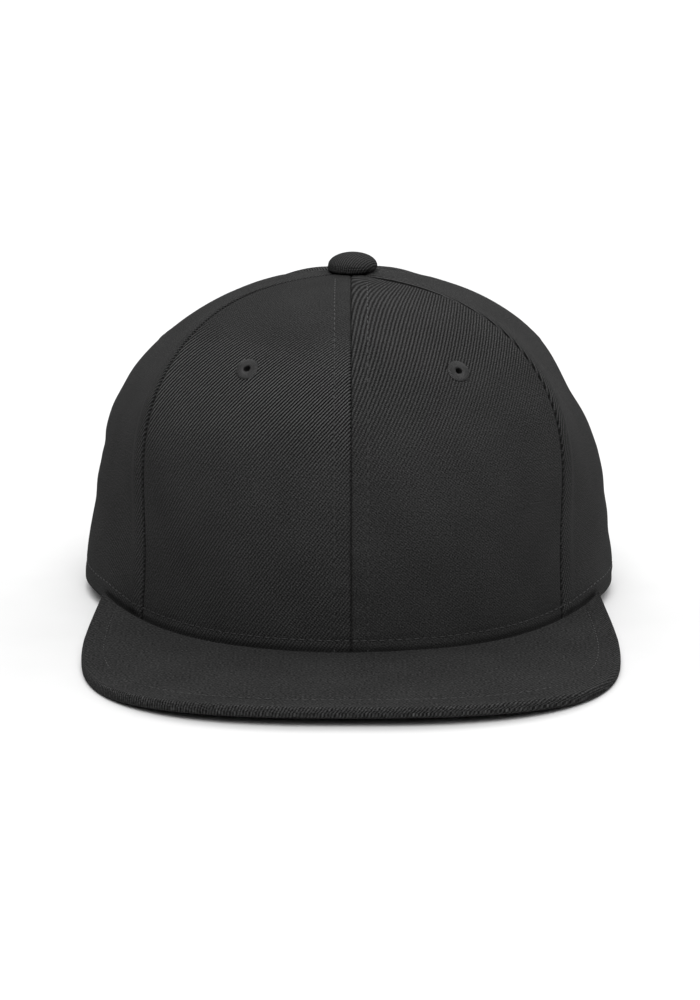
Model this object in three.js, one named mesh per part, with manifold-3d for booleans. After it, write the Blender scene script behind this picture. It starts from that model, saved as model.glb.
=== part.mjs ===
// Snapback cap: six-panel crown, flat brim, covered button, vent eyelets, sweatband and plastic snap strap.
// Millimetres, +Z up. The cap faces -Y and rests by itself on the plane z = 0, on its rear hem and on the front
// corners of the brim. The origin is the middle of the head opening on that plane.
// Left and right are as seen from the front, so left is -X.

import * as THREE from "three";
import { mergeVertices } from "three/addons/utils/BufferGeometryUtils.js";
import Module from "manifold-3d";

// Small gap that neighbouring pieces keep
const clearance = 0.3;

// Crown, measured outside the cloth
const crownHalfWidth = 93.8;
const crownFrontLength = 98; // origin to the hem at the centre seam
const crownRearLength = 93; // origin to the hem at the back
const crownTop = 117;
const panelWall = 2;

// Azimuths in degrees, turned from the front of the cap towards +X
const hemFallsFrom = 100; // the hem comes down behind the brim from here
const hemRestsFrom = 130; // and lies flat on the surface from here to the back

// Brim
const brimFront = 167.5; // origin to the front edge
const brimHalfWidth = 91.5;
const brimWidestAt = 82; // distance in front of the origin
const brimCornerAzimuth = 71; // where the brim's edge runs into the hem
const brimCornerWidth = 0.5;
const brimSquareness = 2.7; // exponent of the front outline, 2 is an ellipse
const brimTuckExponent = 1.3; // how the sides run in to the corners, 1 is straight
const brimBoard = 3.4; // thickness of board and cloth
const brimRim = 3.9; // thickness of the rolled rim
const brimRimBand = 5; // width of the rolled rim
const brimRimRound = 1.3; // radius on its edges
const brimMiddleLift = 2.9; // how far the middle line rises from the corners out to the front edge
const brimSideLift = 5.2; // how far the sides rise from the front edge back to the corners
const brimDroop = 4.1; // how far the sides lie below the middle line at the front edge
const brimDroopExponent = 4; // how flat the brim is across before its sides bend, 2 is a parabola
const brimFacingAzimuth = 50; // place on the hem that faces the brim's widest place
const brimRimBandMost = 0.6; // the rim's band as a share of the brim's width, where the brim narrows

// Rear opening, over the strap
const archHalfWidth = 50;
const archHeight = 50;

// Sweatband
const sweatbandWall = 1.2;
const sweatbandGap = 0.6; // behind the panels, whose facets and its own cross over the folds
const sweatbandHeight = 30;
const sweatbandSetback = 1; // its lower edge above the hem

// Snap strap
const strapWall = 1.2;
const strapHeight = 18;
const strapLift = 1.5; // its lower edge above the resting plane
const strapSeat = 14; // length behind each rear panel
const snapPitch = 9.5;
const snapCount = 7;
const snapsEngaged = 4;
const snapHoleRadius = 2.4;
const snapProud = 0.9; // how far a peg stands out of its hole
const strapTail = 7; // length past the last snap

// Covered button
const buttonRadius = 8.75;
const buttonHeight = 6.6;
const buttonShankRadius = 2.2;
const buttonWasherRadius = 6;
const buttonWasherThickness = 1.2;

// Vent eyelets
const eyeletRadius = 4;
const eyeletHoleRadius = 1.25;
const eyeletProud = 0.4;

// Facets
const panelColumns = 10;
const panelRows = 17;
const brimFrontColumns = 12; // on each side of the middle
const brimSideColumns = 4;
const sweatbandColumns = 44;
const strapColumns = 16;
const ringSides = 12;
const pegSides = 10;
const buttonSides = 16;
const buttonDomeRows = 5;
const archSegments = 20;
const sweatbandRows = 4;
const strapRows = 2;

// Seams of the crown, in order round it. The azimuths are in degrees at the hem, halfway up and at the button.
// Fullness is the exponent of the profile there: 2 is an ellipse, and more is boxier.
const SEAMS = [
  { hemAzimuth: 0, middleAzimuth: 0, topAzimuth: 0, fullness: 3 },
  { hemAzimuth: 53.5, middleAzimuth: 52, topAzimuth: 36, fullness: 3.4 },
  { hemAzimuth: 118, middleAzimuth: 118, topAzimuth: 118, fullness: 2 },
  { hemAzimuth: 180, middleAzimuth: 180, topAzimuth: 180, fullness: 2.15 },
  { hemAzimuth: 242, middleAzimuth: 242, topAzimuth: 242, fullness: 2 },
  { hemAzimuth: 307, middleAzimuth: 306, topAzimuth: 303, fullness: 3.2 },
  { hemAzimuth: 360, middleAzimuth: 360, topAzimuth: 360, fullness: 3 },
];

// Panels between those seams. Fullness is the profile's exponent down the panel's middle. The eyelet's place is a
// share of the way across the panel and a rise in degrees.
const PANELS = [
  { name: "front_right", fullness: 2.9, eyeletAcross: 0.57, eyeletRise: 46.5 },
  { name: "side_right", fullness: 2.3, eyeletAcross: 0.8, eyeletRise: 47 },
  { name: "rear_right", fullness: 2.25, eyeletAcross: 0.5, eyeletRise: 49 },
  { name: "rear_left", fullness: 2.25, eyeletAcross: 0.5, eyeletRise: 49 },
  { name: "side_left", fullness: 2.3, eyeletAcross: 0.2, eyeletRise: 47 },
  { name: "front_left", fullness: 2.9, eyeletAcross: 0.47, eyeletRise: 47 },
];

// Dents and swells of the cloth, round in plan and height. Azimuth and spread are degrees, height and reach are
// shares of the crown's height, and depth is a share of its half width, less than zero where the cloth swells out.
const FOLDS = [
  { name: "waist_left", azimuth: 303, spread: 40, height: 0.22, reach: 0.5, depth: 0.055 },
  { name: "waist_right", azimuth: 57, spread: 40, height: 0.22, reach: 0.5, depth: 0.055 },
  { name: "cheek_left", azimuth: 265, spread: 45, height: 0.62, reach: 0.34, depth: -0.042 },
  { name: "cheek_right", azimuth: 95, spread: 45, height: 0.62, reach: 0.34, depth: -0.042 },
  { name: "dent_right", azimuth: 93, spread: 40, height: 0.61, reach: 0.23, depth: 0.05 },
  { name: "flare_left", azimuth: 257, spread: 38, height: 0, reach: 0.34, depth: -0.036 },
  { name: "flare_right", azimuth: 100, spread: 48, height: 0, reach: 0.34, depth: -0.01 },
];

// Rows of the brim's rim, in from the edge, as shares of the rim's round and of its band
const RIM_ROWS = [
  { ofRound: 0, ofBand: 0 },
  { ofRound: 0.3, ofBand: 0 },
  { ofRound: 1, ofBand: 0 },
  { ofRound: 0, ofBand: 0.6 },
  { ofRound: 0, ofBand: 1 },
];
// Rows of the board, as shares of the way from the rim's band to the crown
const BOARD_ROWS = [0.35, 0.7, 1];

// Half outline of the covered button, from its lower edge up to its widest place, as shares of its radius and height
const BUTTON_RIM = [
  { out: 0.85, up: 0 },
  { out: 1, up: 0.22 },
];
const buttonShoulder = 0.36; // height where its dome begins, as a share of its height
const buttonDomeExponent = 0.8; // below 1 the dome is flatter than an ellipse

const radians = THREE.MathUtils.degToRad;
const degrees = THREE.MathUtils.radToDeg;
const lerp = THREE.MathUtils.lerp;
const smooth = (value) => THREE.MathUtils.smoothstep(value, 0, 1);

// 1 at zero, falling smoothly to 0 at one
function bump(value) {
  return Math.abs(value) < 1 ? Math.cos((value * Math.PI) / 2) ** 2 : 0;
}

// Signed difference of two azimuths, from -180 to 180 degrees
function turnBetween(azimuth, other) {
  return ((((azimuth - other + 180) % 360) + 360) % 360) - 180;
}

// Distance from the origin to the plain oval of the crown
function ovalRadius(azimuth) {
  const along = Math.cos(radians(azimuth));
  const length = along > 0 ? crownFrontLength : crownRearLength;
  return 1 / Math.hypot(Math.sin(radians(azimuth)) / crownHalfWidth, along / length);
}

// How far the folds stand in from the plain oval
function foldDepth(azimuth, heightShare) {
  let depth = 0;
  for (const fold of FOLDS) {
    const around = turnBetween(azimuth, fold.azimuth) / fold.spread;
    const up = (heightShare - fold.height) / fold.reach;
    depth += fold.depth * crownHalfWidth * bump(around) * bump(up);
  }
  return depth;
}

// Place in plan at a distance from the origin
function inPlan(azimuth, radius, height = 0) {
  return new THREE.Vector3(
    radius * Math.sin(radians(azimuth)),
    -radius * Math.cos(radians(azimuth)),
    height,
  );
}

// The hem's outer edge in plan, moved out by a margin
function hemInPlan(azimuth, margin = 0) {
  return inPlan(azimuth, ovalRadius(azimuth) - foldDepth(azimuth, 0) + margin);
}

// Level of the brim's top face over its lowest point, before the brim is set down
function brimCrest(x, y) {
  const cornerBack = hemInPlan(brimCornerAzimuth).y;
  const back = (y + brimFront) / (cornerBack + brimFront);
  const middle = -brimMiddleLift * back;
  const side = -brimDroop + brimSideLift * back ** 2;
  return lerp(middle, side, Math.abs(x / brimHalfWidth) ** brimDroopExponent);
}

// One half of the brim's outline: 0 is the front middle, 1 the widest place and 2 the corner at the hem.
// Side is 1 for right and -1 for left.
function brimOutline(way, side) {
  if (way <= 1) {
    const turn = (way * Math.PI) / 2;
    const across = Math.sin(turn);
    const ahead = Math.cos(turn);
    const reach = (across ** brimSquareness + ahead ** brimSquareness) ** (-1 / brimSquareness);
    const depth = brimFront - brimWidestAt;
    return new THREE.Vector2(side * brimHalfWidth * across * reach, -brimWidestAt - depth * ahead * reach);
  }
  const corner = hemInPlan(side * brimCornerAzimuth, clearance + brimCornerWidth);
  const past = way - 1;
  const tuck = brimHalfWidth - Math.abs(corner.x);
  const inward = tuck * past ** brimTuckExponent;
  return new THREE.Vector2(side * (brimHalfWidth - inward), lerp(-brimWidestAt, corner.y, past));
}

// Place on the hem that faces a place on the brim's outline
function brimFoot(way, side) {
  const azimuth =
    way <= 1 ? lerp(0, brimFacingAzimuth, way) : lerp(brimFacingAzimuth, brimCornerAzimuth, way - 1);
  const hem = hemInPlan(side * azimuth, clearance);
  return new THREE.Vector2(hem.x, hem.y);
}

// Place in plan at a distance in from the brim's outline, towards the crown
function brimPlan(way, side, inward) {
  const edge = brimOutline(way, side);
  const foot = brimFoot(way, side);
  return edge.lerp(foot, inward / edge.distanceTo(foot));
}

// How far the brim comes down until the underside of its rim touches the resting plane
function brimSettling() {
  let lowest = Infinity;
  for (let step = 0; step <= brimFrontColumns; step++)
    for (const side of [-1, 1]) {
      const place = brimPlan(step / brimFrontColumns, side, brimRimRound);
      lowest = Math.min(lowest, brimCrest(place.x, place.y));
    }
  return lowest - (brimRim + brimBoard) / 2;
}
const brimSettle = brimSettling();

function brimTop(x, y) {
  return brimCrest(x, y) - brimSettle;
}

// Level of the crown's lower edge: along the underside of the brim, then down to the resting plane at the back
function hemLevel(azimuth) {
  const turn = Math.abs(turnBetween(azimuth, 0));
  const edge = hemInPlan(Math.min(turn, brimCornerAzimuth));
  const level = brimTop(edge.x, edge.y) - brimBoard;
  return level * (1 - smooth((turn - hemFallsFrom) / (hemRestsFrom - hemFallsFrom)));
}

// Azimuth of a seam on its way from 0 at the hem to 1 at the button
function seamAzimuth({ hemAzimuth, middleAzimuth, topAzimuth }, way) {
  const nearHem = (1 - way) * (1 - 2 * way);
  const nearMiddle = 4 * way * (1 - way);
  const nearTop = way * (2 * way - 1);
  return hemAzimuth * nearHem + middleAzimuth * nearMiddle + topAzimuth * nearTop;
}

// Azimuth and profile exponent at a place round the crown, counted in panels from the front seam
function goreAt(gore, rise) {
  const round = ((gore % PANELS.length) + PANELS.length) % PANELS.length;
  const index = Math.min(Math.floor(round), PANELS.length - 1);
  const across = round - index;
  const [from, to] = [SEAMS[index], SEAMS[index + 1]];
  const azimuth = lerp(seamAzimuth(from, rise / 90), seamAzimuth(to, rise / 90), across);
  const atSeams = lerp(from.fullness, to.fullness, across);
  return { azimuth, fullness: lerp(PANELS[index].fullness, atSeams, (2 * across - 1) ** 2) };
}

// A point outside the crown. Rise is 0 degrees at the hem and 90 at the apex.
function crownPoint(gore, rise) {
  const { azimuth, fullness } = goreAt(gore, rise);
  const level = Math.cos(radians(rise));
  const up = Math.sin(radians(rise));
  const reach = (level ** fullness + up ** fullness) ** (-1 / fullness);
  const heightShare = up * reach;
  const radius = ovalRadius(azimuth) * level * reach - foldDepth(azimuth, heightShare);
  return inPlan(azimuth, radius, lerp(hemLevel(azimuth), crownTop, heightShare));
}

// The crown's outward direction, level along the hem so that the lower edge of the cloth is square
function crownNormal(gore, rise) {
  const stepAcross = 0.03;
  const stepUp = 0.5;
  const across = crownPoint(gore + stepAcross, rise).sub(crownPoint(gore - stepAcross, rise));
  const above = crownPoint(gore, Math.min(rise + stepUp, 90));
  const up = above.sub(crownPoint(gore, Math.max(rise - stepUp, 0)));
  const normal = across.cross(up).normalize();
  const levelUpTo = 8;
  normal.z *= smooth(rise / levelUpTo);
  return normal.normalize();
}

// A point under the outside of the crown, at a depth into it
function crownInside(gore, rise, depth) {
  return crownPoint(gore, rise).addScaledVector(crownNormal(gore, rise), -depth);
}

// Rise at which the crown reaches a height above the resting plane
function riseAtHeight(gore, height) {
  const { azimuth, fullness } = goreAt(gore, 0);
  const level = hemLevel(azimuth);
  const share = Math.max(height - level, 0) / (crownTop - level);
  return degrees(Math.atan2(share, (1 - share ** fullness) ** (1 / fullness)));
}

// Place round the crown, in panels, of an azimuth at the hem
function goreAtAzimuth(azimuth) {
  const index = SEAMS.findIndex((seam) => seam.hemAzimuth > azimuth) - 1;
  const [from, to] = [SEAMS[index], SEAMS[index + 1]];
  return index + (azimuth - from.hemAzimuth) / (to.hemAzimuth - from.hemAzimuth);
}

// A closed wall between two skins of columns by rows. Each skin is a function of shares across and along, and
// across times along points out of the outer skin.
function wallGeometry(columns, rows, outer, inner) {
  const positions = [];
  const index = [];
  const skins = [outer, inner];
  for (const skin of skins)
    for (let row = 0; row <= rows; row++)
      for (let column = 0; column <= columns; column++)
        positions.push(...skin(column / columns, row / rows).toArray());
  const corner = (skin, column, row) => (skin * (rows + 1) + row) * (columns + 1) + column;
  const quad = (a, b, c, d) => index.push(a, b, c, a, c, d);
  for (let row = 0; row < rows; row++)
    for (let column = 0; column < columns; column++) {
      quad(
        corner(0, column, row),
        corner(0, column + 1, row),
        corner(0, column + 1, row + 1),
        corner(0, column, row + 1),
      );
      quad(
        corner(1, column, row),
        corner(1, column, row + 1),
        corner(1, column + 1, row + 1),
        corner(1, column + 1, row),
      );
    }
  for (let column = 0; column < columns; column++) {
    quad(corner(0, column, 0), corner(1, column, 0), corner(1, column + 1, 0), corner(0, column + 1, 0));
    quad(
      corner(0, column + 1, rows),
      corner(1, column + 1, rows),
      corner(1, column, rows),
      corner(0, column, rows),
    );
  }
  for (let row = 0; row < rows; row++) {
    quad(corner(0, 0, row + 1), corner(1, 0, row + 1), corner(1, 0, row), corner(0, 0, row));
    quad(
      corner(0, columns, row),
      corner(1, columns, row),
      corner(1, columns, row + 1),
      corner(0, columns, row + 1),
    );
  }
  const geometry = new THREE.BufferGeometry();
  geometry.setAttribute("position", new THREE.Float32BufferAttribute(positions, 3));
  geometry.setIndex(index);
  return geometry;
}

const wasm = await Module();
wasm.setup();

// A closed geometry as a solid for cutting and joining
function toSolid(geometry) {
  const bare = geometry.clone();
  bare.deleteAttribute("normal");
  bare.deleteAttribute("uv");
  const merged = mergeVertices(bare, 1e-4);
  return new wasm.Manifold(
    new wasm.Mesh({
      numProp: 3,
      vertProperties: merged.attributes.position.array,
      triVerts: new Uint32Array(merged.index.array),
    }),
  );
}

function toGeometry(solid) {
  const mesh = solid.getMesh();
  const geometry = new THREE.BufferGeometry();
  geometry.setAttribute("position", new THREE.BufferAttribute(mesh.vertProperties, 3));
  geometry.setIndex(new THREE.BufferAttribute(mesh.triVerts, 1));
  return geometry;
}

// A round bar from a point along a direction
function barGeometry(radius, start, direction, length, sides) {
  const bar = new THREE.CylinderGeometry(radius, radius, length, sides);
  bar.translate(0, length / 2, 0);
  bar.applyQuaternion(new THREE.Quaternion().setFromUnitVectors(new THREE.Vector3(0, 1, 0), direction));
  return bar.translate(start.x, start.y, start.z);
}

function namedMesh(name, geometry, material) {
  const mesh = new THREE.Mesh(geometry, material);
  geometry.computeVertexNormals();
  mesh.name = name;
  return mesh;
}

const twill = new THREE.MeshStandardMaterial({ color: 0x2f2f31, roughness: 0.92, metalness: 0 });
const brimTwill = new THREE.MeshStandardMaterial({ color: 0x333335, roughness: 0.92, metalness: 0 });
const thread = new THREE.MeshStandardMaterial({ color: 0x3a3a3c, roughness: 0.85, metalness: 0 });
const bandCloth = new THREE.MeshStandardMaterial({ color: 0x242426, roughness: 0.95, metalness: 0 });
const strapPlastic = new THREE.MeshStandardMaterial({ color: 0x1c1c1e, roughness: 0.45, metalness: 0 });

// Half-moon cut through the back, wide open downwards, from the crown's inside out past its back
function archCutter() {
  const below = archHeight;
  const pastBack = crownRearLength / 2;
  const shape = new THREE.Shape();
  shape.moveTo(-archHalfWidth, -below);
  shape.lineTo(archHalfWidth, -below);
  shape.lineTo(archHalfWidth, 0);
  shape.absellipse(0, 0, archHalfWidth, archHeight, 0, Math.PI, false);
  const cutter = new THREE.ExtrudeGeometry(shape, {
    depth: crownRearLength,
    curveSegments: archSegments,
    bevelEnabled: false,
  });
  cutter.rotateX(Math.PI / 2);
  return toSolid(cutter.translate(0, crownRearLength + pastBack, 0));
}

// One gore of the crown, half a gap short of each seam, with its eyelet hole and its share of the rear opening
function panelGeometry(index) {
  const topHole = buttonShankRadius + clearance;
  const span = SEAMS[index + 1].hemAzimuth - SEAMS[index].hemAzimuth;
  const skin = (depth) => (across, along) => {
    const lastRise = degrees(Math.atan2(ovalRadius(goreAt(index + across, 0).azimuth), topHole));
    const rise = lastRise * along;
    const middle = crownPoint(index + 0.5, rise);
    const trim = clearance / 2 / (Math.hypot(middle.x, middle.y) * radians(span));
    return crownInside(index + lerp(trim, 1 - trim, across), rise, depth);
  };
  const wall = toSolid(wallGeometry(panelColumns, panelRows, skin(0), skin(panelWall)));
  const { eyeletAcross, eyeletRise } = PANELS[index];
  const normal = crownNormal(index + eyeletAcross, eyeletRise);
  const start = crownInside(index + eyeletAcross, eyeletRise, panelWall * 2);
  const holeBar = barGeometry(eyeletRadius + clearance, start, normal, panelWall * 4, ringSides);
  const pierced = wall.subtract(toSolid(holeBar));
  const rear = PANELS[index].name.startsWith("rear");
  return toGeometry(rear ? pierced.subtract(archCutter()) : pierced);
}

// Stitched ring that fills the hole in its panel and leaves a small vent
function eyeletMesh(index) {
  const { name, eyeletAcross, eyeletRise } = PANELS[index];
  const bevel = eyeletProud;
  const points = [
    new THREE.Vector2(eyeletHoleRadius, -panelWall),
    new THREE.Vector2(eyeletRadius, -panelWall),
    new THREE.Vector2(eyeletRadius, 0),
    new THREE.Vector2(eyeletRadius - bevel, eyeletProud),
    new THREE.Vector2(eyeletHoleRadius + bevel, eyeletProud),
    new THREE.Vector2(eyeletHoleRadius, 0),
    new THREE.Vector2(eyeletHoleRadius, -panelWall),
  ];
  const mesh = namedMesh(`eyelet_${name}`, new THREE.LatheGeometry(points, ringSides), thread);
  mesh.position.copy(crownPoint(index + eyeletAcross, eyeletRise));
  mesh.quaternion.setFromUnitVectors(new THREE.Vector3(0, 1, 0), crownNormal(index + eyeletAcross, eyeletRise));
  return mesh;
}

// Half the brim's thickness at a distance in from its edge
function brimHalfThickness(inward) {
  const board = brimBoard / 2;
  const rim = brimRim / 2;
  if (inward < brimRimRound) {
    const round = Math.sqrt(brimRimRound ** 2 - (brimRimRound - inward) ** 2);
    return rim - brimRimRound + round;
  }
  return lerp(rim, board, smooth((inward - brimRimRound) / (brimRimBand - brimRimRound)));
}

// The brim as two faces. Its rows step in from the rim, by the shares of the rim's round and band in RIM_ROWS, then
// by shares of what is left up to the crown.
function brimGeometry() {
  const columns = 2 * (brimFrontColumns + brimSideColumns);
  const frontShare = brimFrontColumns / (brimFrontColumns + brimSideColumns);
  const rimSteps = RIM_ROWS.map(({ ofRound, ofBand }) => brimRimRound * ofRound + brimRimBand * ofBand);
  const rows = rimSteps.length + BOARD_ROWS.length - 1;
  const skin = (face) => (across, along) => {
    const side = across < 0.5 ? -1 : 1;
    const round = Math.abs(2 * across - 1);
    const way = round <= frontShare ? round / frontShare : 1 + (round - frontShare) / (1 - frontShare);
    const width = brimOutline(way, side).distanceTo(brimFoot(way, side));
    const squeeze = Math.min(1, (width * brimRimBandMost) / brimRimBand);
    const row = Math.round(along * rows);
    const inward =
      row < rimSteps.length
        ? rimSteps[row] * squeeze
        : lerp(brimRimBand * squeeze, width, BOARD_ROWS[row - rimSteps.length]);
    const { x, y } = brimPlan(way, side, inward);
    const middle = brimTop(x, y) - brimBoard / 2;
    return new THREE.Vector3(x, y, middle + face * brimHalfThickness(inward / squeeze));
  };
  return wallGeometry(columns, rows, skin(1), skin(-1));
}

// How far the crown has come down from its apex at a radius, at the lowest place round it
function apexDrop(radius) {
  let lowest = crownTop;
  for (let gore = 0; gore < PANELS.length; gore += 0.5) {
    const rise = degrees(Math.atan2(ovalRadius(goreAt(gore, 0).azimuth), radius));
    lowest = Math.min(lowest, crownPoint(gore, rise).z);
  }
  return crownTop - lowest;
}

// Dome over the crown, a shank through the hole where the panels meet, and a washer under them
function buttonMesh() {
  const seat = clearance;
  const washerTop = -apexDrop(buttonWasherRadius) - panelWall - clearance;
  const washerBottom = washerTop - buttonWasherThickness;
  const points = [
    new THREE.Vector2(0, washerBottom),
    new THREE.Vector2(buttonWasherRadius, washerBottom),
    new THREE.Vector2(buttonWasherRadius, washerTop),
    new THREE.Vector2(buttonShankRadius, washerTop),
    new THREE.Vector2(buttonShankRadius, seat),
  ];
  for (const { out, up } of BUTTON_RIM)
    points.push(new THREE.Vector2(buttonRadius * out, seat + buttonHeight * up));
  for (let step = 0; step < buttonDomeRows; step++) {
    const turn = ((step / buttonDomeRows) * Math.PI) / 2;
    const radius = buttonRadius * Math.cos(turn) ** buttonDomeExponent;
    const up = lerp(buttonShoulder, 1, Math.sin(turn));
    points.push(new THREE.Vector2(radius, seat + buttonHeight * up));
  }
  points.push(new THREE.Vector2(0, seat + buttonHeight));
  const mesh = namedMesh("top_button", new THREE.LatheGeometry(points, buttonSides), twill);
  mesh.position.z = crownTop;
  mesh.rotation.x = Math.PI / 2;
  return mesh;
}

// Angle at the back that an arc length along the hem covers, in degrees
function rearTurn(length) {
  return degrees(length / crownRearLength);
}
const archEdgeTurn = degrees(Math.asin(archHalfWidth / crownRearLength));
const strapEndTurn = archEdgeTurn + rearTurn(strapSeat);

// Band inside the hem, from one end of the strap round the front to the other
function sweatbandGeometry() {
  const end = 180 - strapEndTurn - rearTurn(clearance * 2);
  const skin = (depth) => (across, along) => {
    const azimuth = lerp(-end, end, across);
    const gore = azimuth < 0 ? goreAtAzimuth(azimuth + 360) - PANELS.length : goreAtAzimuth(azimuth);
    const foot = hemLevel(azimuth) + sweatbandSetback;
    return crownInside(gore, riseAtHeight(gore, foot + sweatbandHeight * along), depth);
  };
  const outer = panelWall + sweatbandGap;
  return wallGeometry(sweatbandColumns, sweatbandRows, skin(outer), skin(outer + sweatbandWall));
}

// Arc length from the back's middle to the last engaged snap, and to the free ends of the strap's halves
const lastEngaged = ((snapsEngaged - 1) / 2) * snapPitch;
const freeTurn = rearTurn(lastEngaged + strapTail);

// Depths of the two halves where they overlap, in from the crown's outside
const outerStrapDepth = panelWall + clearance;
const innerStrapDepth = outerStrapDepth + strapWall + clearance;

// Depth of a half of the strap at a turn from the back's middle towards its own panel. It comes from the depth at
// its free end to the one that both have behind the panels.
function strapDepth(freeDepth, turn) {
  return lerp(freeDepth, outerStrapDepth, smooth((turn - freeTurn) / (archEdgeTurn - freeTurn)));
}

// One half of the snap strap. Side is 1 for the half that starts at the right.
function strapGeometry(side, freeDepth) {
  const skin = (into) => (across, along) => {
    const turn = lerp(strapEndTurn, -freeTurn, side > 0 ? across : 1 - across);
    const gore = goreAtAzimuth(180 - side * turn);
    const rise = riseAtHeight(gore, strapLift + strapHeight * along);
    return crownInside(gore, rise, strapDepth(freeDepth, turn) + into);
  };
  return wallGeometry(strapColumns, strapRows, skin(0), skin(strapWall));
}

// Bars out through a half of the strap at each snap, from a depth behind its outer face
function snapBars(side, freeDepth, radius, behind, length) {
  const bars = [];
  for (let snap = 0; snap < snapCount; snap++) {
    const turn = rearTurn(snap * snapPitch - lastEngaged);
    const gore = goreAtAzimuth(180 - side * turn);
    const rise = riseAtHeight(gore, strapLift + strapHeight / 2);
    const start = crownInside(gore, rise, strapDepth(freeDepth, turn) + behind);
    bars.push(toSolid(barGeometry(radius, start, crownNormal(gore, rise), length, pegSides)));
  }
  return bars;
}

// Half of the strap with the holes, outside the other where they overlap
function holeStrapGeometry() {
  const strap = toSolid(strapGeometry(-1, outerStrapDepth));
  const bars = snapBars(-1, outerStrapDepth, snapHoleRadius, strapWall * 2, strapWall * 4);
  return toGeometry(bars.reduce((solid, bar) => solid.subtract(bar), strap));
}

// Half of the strap with the pegs, which pass through the other's holes
function pegStrapGeometry() {
  const strap = toSolid(strapGeometry(1, innerStrapDepth));
  const root = strapWall / 2;
  const length = root + clearance + strapWall + snapProud;
  const bars = snapBars(1, innerStrapDepth, snapHoleRadius - clearance, root, length);
  return toGeometry(bars.reduce((solid, bar) => solid.add(bar), strap));
}

const cap = new THREE.Group();
PANELS.forEach(({ name }, index) => {
  cap.add(namedMesh(`panel_${name}`, panelGeometry(index), twill));
  cap.add(eyeletMesh(index));
});
cap.add(namedMesh("brim", brimGeometry(), brimTwill));
cap.add(buttonMesh());
cap.add(namedMesh("sweatband", sweatbandGeometry(), bandCloth));
cap.add(namedMesh("strap_holes", holeStrapGeometry(), strapPlastic));
cap.add(namedMesh("strap_pegs", pegStrapGeometry(), strapPlastic));

export default cap;
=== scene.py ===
# Snapback cap in black cotton twill: the finish of every piece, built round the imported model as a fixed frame.
# Lengths are in millimetres, as in the part's source, and become metres where a mesh is made. Left is -X.

import math

import bpy
import numpy as np
from mathutils import Matrix, Vector


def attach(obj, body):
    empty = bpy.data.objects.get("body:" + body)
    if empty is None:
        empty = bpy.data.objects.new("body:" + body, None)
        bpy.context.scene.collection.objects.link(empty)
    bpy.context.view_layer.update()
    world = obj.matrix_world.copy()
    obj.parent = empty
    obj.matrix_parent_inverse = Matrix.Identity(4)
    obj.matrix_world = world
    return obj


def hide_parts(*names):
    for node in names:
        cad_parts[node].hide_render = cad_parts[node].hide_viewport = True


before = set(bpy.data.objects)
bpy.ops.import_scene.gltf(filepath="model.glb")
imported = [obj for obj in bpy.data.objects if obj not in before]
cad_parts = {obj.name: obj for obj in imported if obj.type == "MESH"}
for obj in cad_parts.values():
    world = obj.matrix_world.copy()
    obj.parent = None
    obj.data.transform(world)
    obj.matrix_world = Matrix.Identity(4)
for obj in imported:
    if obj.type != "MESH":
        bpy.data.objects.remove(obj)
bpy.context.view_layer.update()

MM = 0.001  # metres in a millimetre
BODY = "root"

# Sizes shared with the part
CLEARANCE = 0.3
CROWN_HALF_WIDTH = 93.8
CROWN_FRONT_LENGTH = 98
CROWN_REAR_LENGTH = 93
CROWN_TOP = 117
PANEL_WALL = 2
HEM_FALLS_FROM = 100
HEM_RESTS_FROM = 130
BRIM_FRONT = 167.5
BRIM_HALF_WIDTH = 91.5
BRIM_WIDEST_AT = 82
BRIM_CORNER_AZIMUTH = 71
BRIM_CORNER_WIDTH = 0.5
BRIM_SQUARENESS = 2.7
BRIM_TUCK_EXPONENT = 1.3
BRIM_BOARD = 3.4
BRIM_RIM = 3.9
BRIM_RIM_BAND = 5
BRIM_RIM_ROUND = 1.3
BRIM_MIDDLE_LIFT = 2.9
BRIM_SIDE_LIFT = 5.2
BRIM_DROOP = 4.1
BRIM_DROOP_EXPONENT = 4
BRIM_FACING_AZIMUTH = 50
BRIM_RIM_BAND_MOST = 0.6
ARCH_HALF_WIDTH = 50
ARCH_HEIGHT = 50
ARCH_NEAR = 12  # distance from the half moon within which the cloth follows it
SWEATBAND_WALL = 1.2
SWEATBAND_GAP = 0.6
SWEATBAND_HEIGHT = 30
SWEATBAND_SETBACK = 1
STRAP_WALL = 1.2
STRAP_HEIGHT = 18
STRAP_LIFT = 1.5
STRAP_SEAT = 14
SNAP_PITCH = 9.5
SNAP_COUNT = 7
SNAPS_ENGAGED = 4
SNAP_HOLE_RADIUS = 2.4
SNAP_PROUD = 0.9
STRAP_TAIL = 7
BUTTON_RADIUS = 8.75
BUTTON_HEIGHT = 6.6
BUTTON_SHANK_RADIUS = 2.2
BUTTON_WASHER_RADIUS = 6
BUTTON_WASHER_THICKNESS = 1.2
EYELET_RADIUS = 4
EYELET_HOLE_RADIUS = 1.25

# Seams round the crown: azimuth at the hem, halfway up and at the button, and fullness of the profile
SEAMS = np.array([
    (0, 0, 0, 3),
    (53.5, 52, 36, 3.4),
    (118, 118, 118, 2),
    (180, 180, 180, 2.15),
    (242, 242, 242, 2),
    (307, 306, 303, 3.2),
    (360, 360, 360, 3),
])

# Panels: name, fullness down the middle, eyelet's share across and its rise, and turn of the cloth's grain
PANELS = [
    ("front_right", 2.9, 0.57, 46.5, -7),
    ("side_right", 2.3, 0.8, 47, 0),
    ("rear_right", 2.25, 0.5, 49, 0),
    ("rear_left", 2.25, 0.5, 49, 0),
    ("side_left", 2.3, 0.2, 47, 0),
    ("front_left", 2.9, 0.47, 47, -5),
]
FULLNESS = np.array([panel[1] for panel in PANELS])

# Radius with which the cloth turns in at each of those seams, and whether it is stitched down there
SEAM_ROLLS = [0.8, 1.7, 1.3, 1.3, 1.3, 1.7, 0.8]
TOPSTITCHED = [True, False, True, True, True, False, True]

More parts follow.
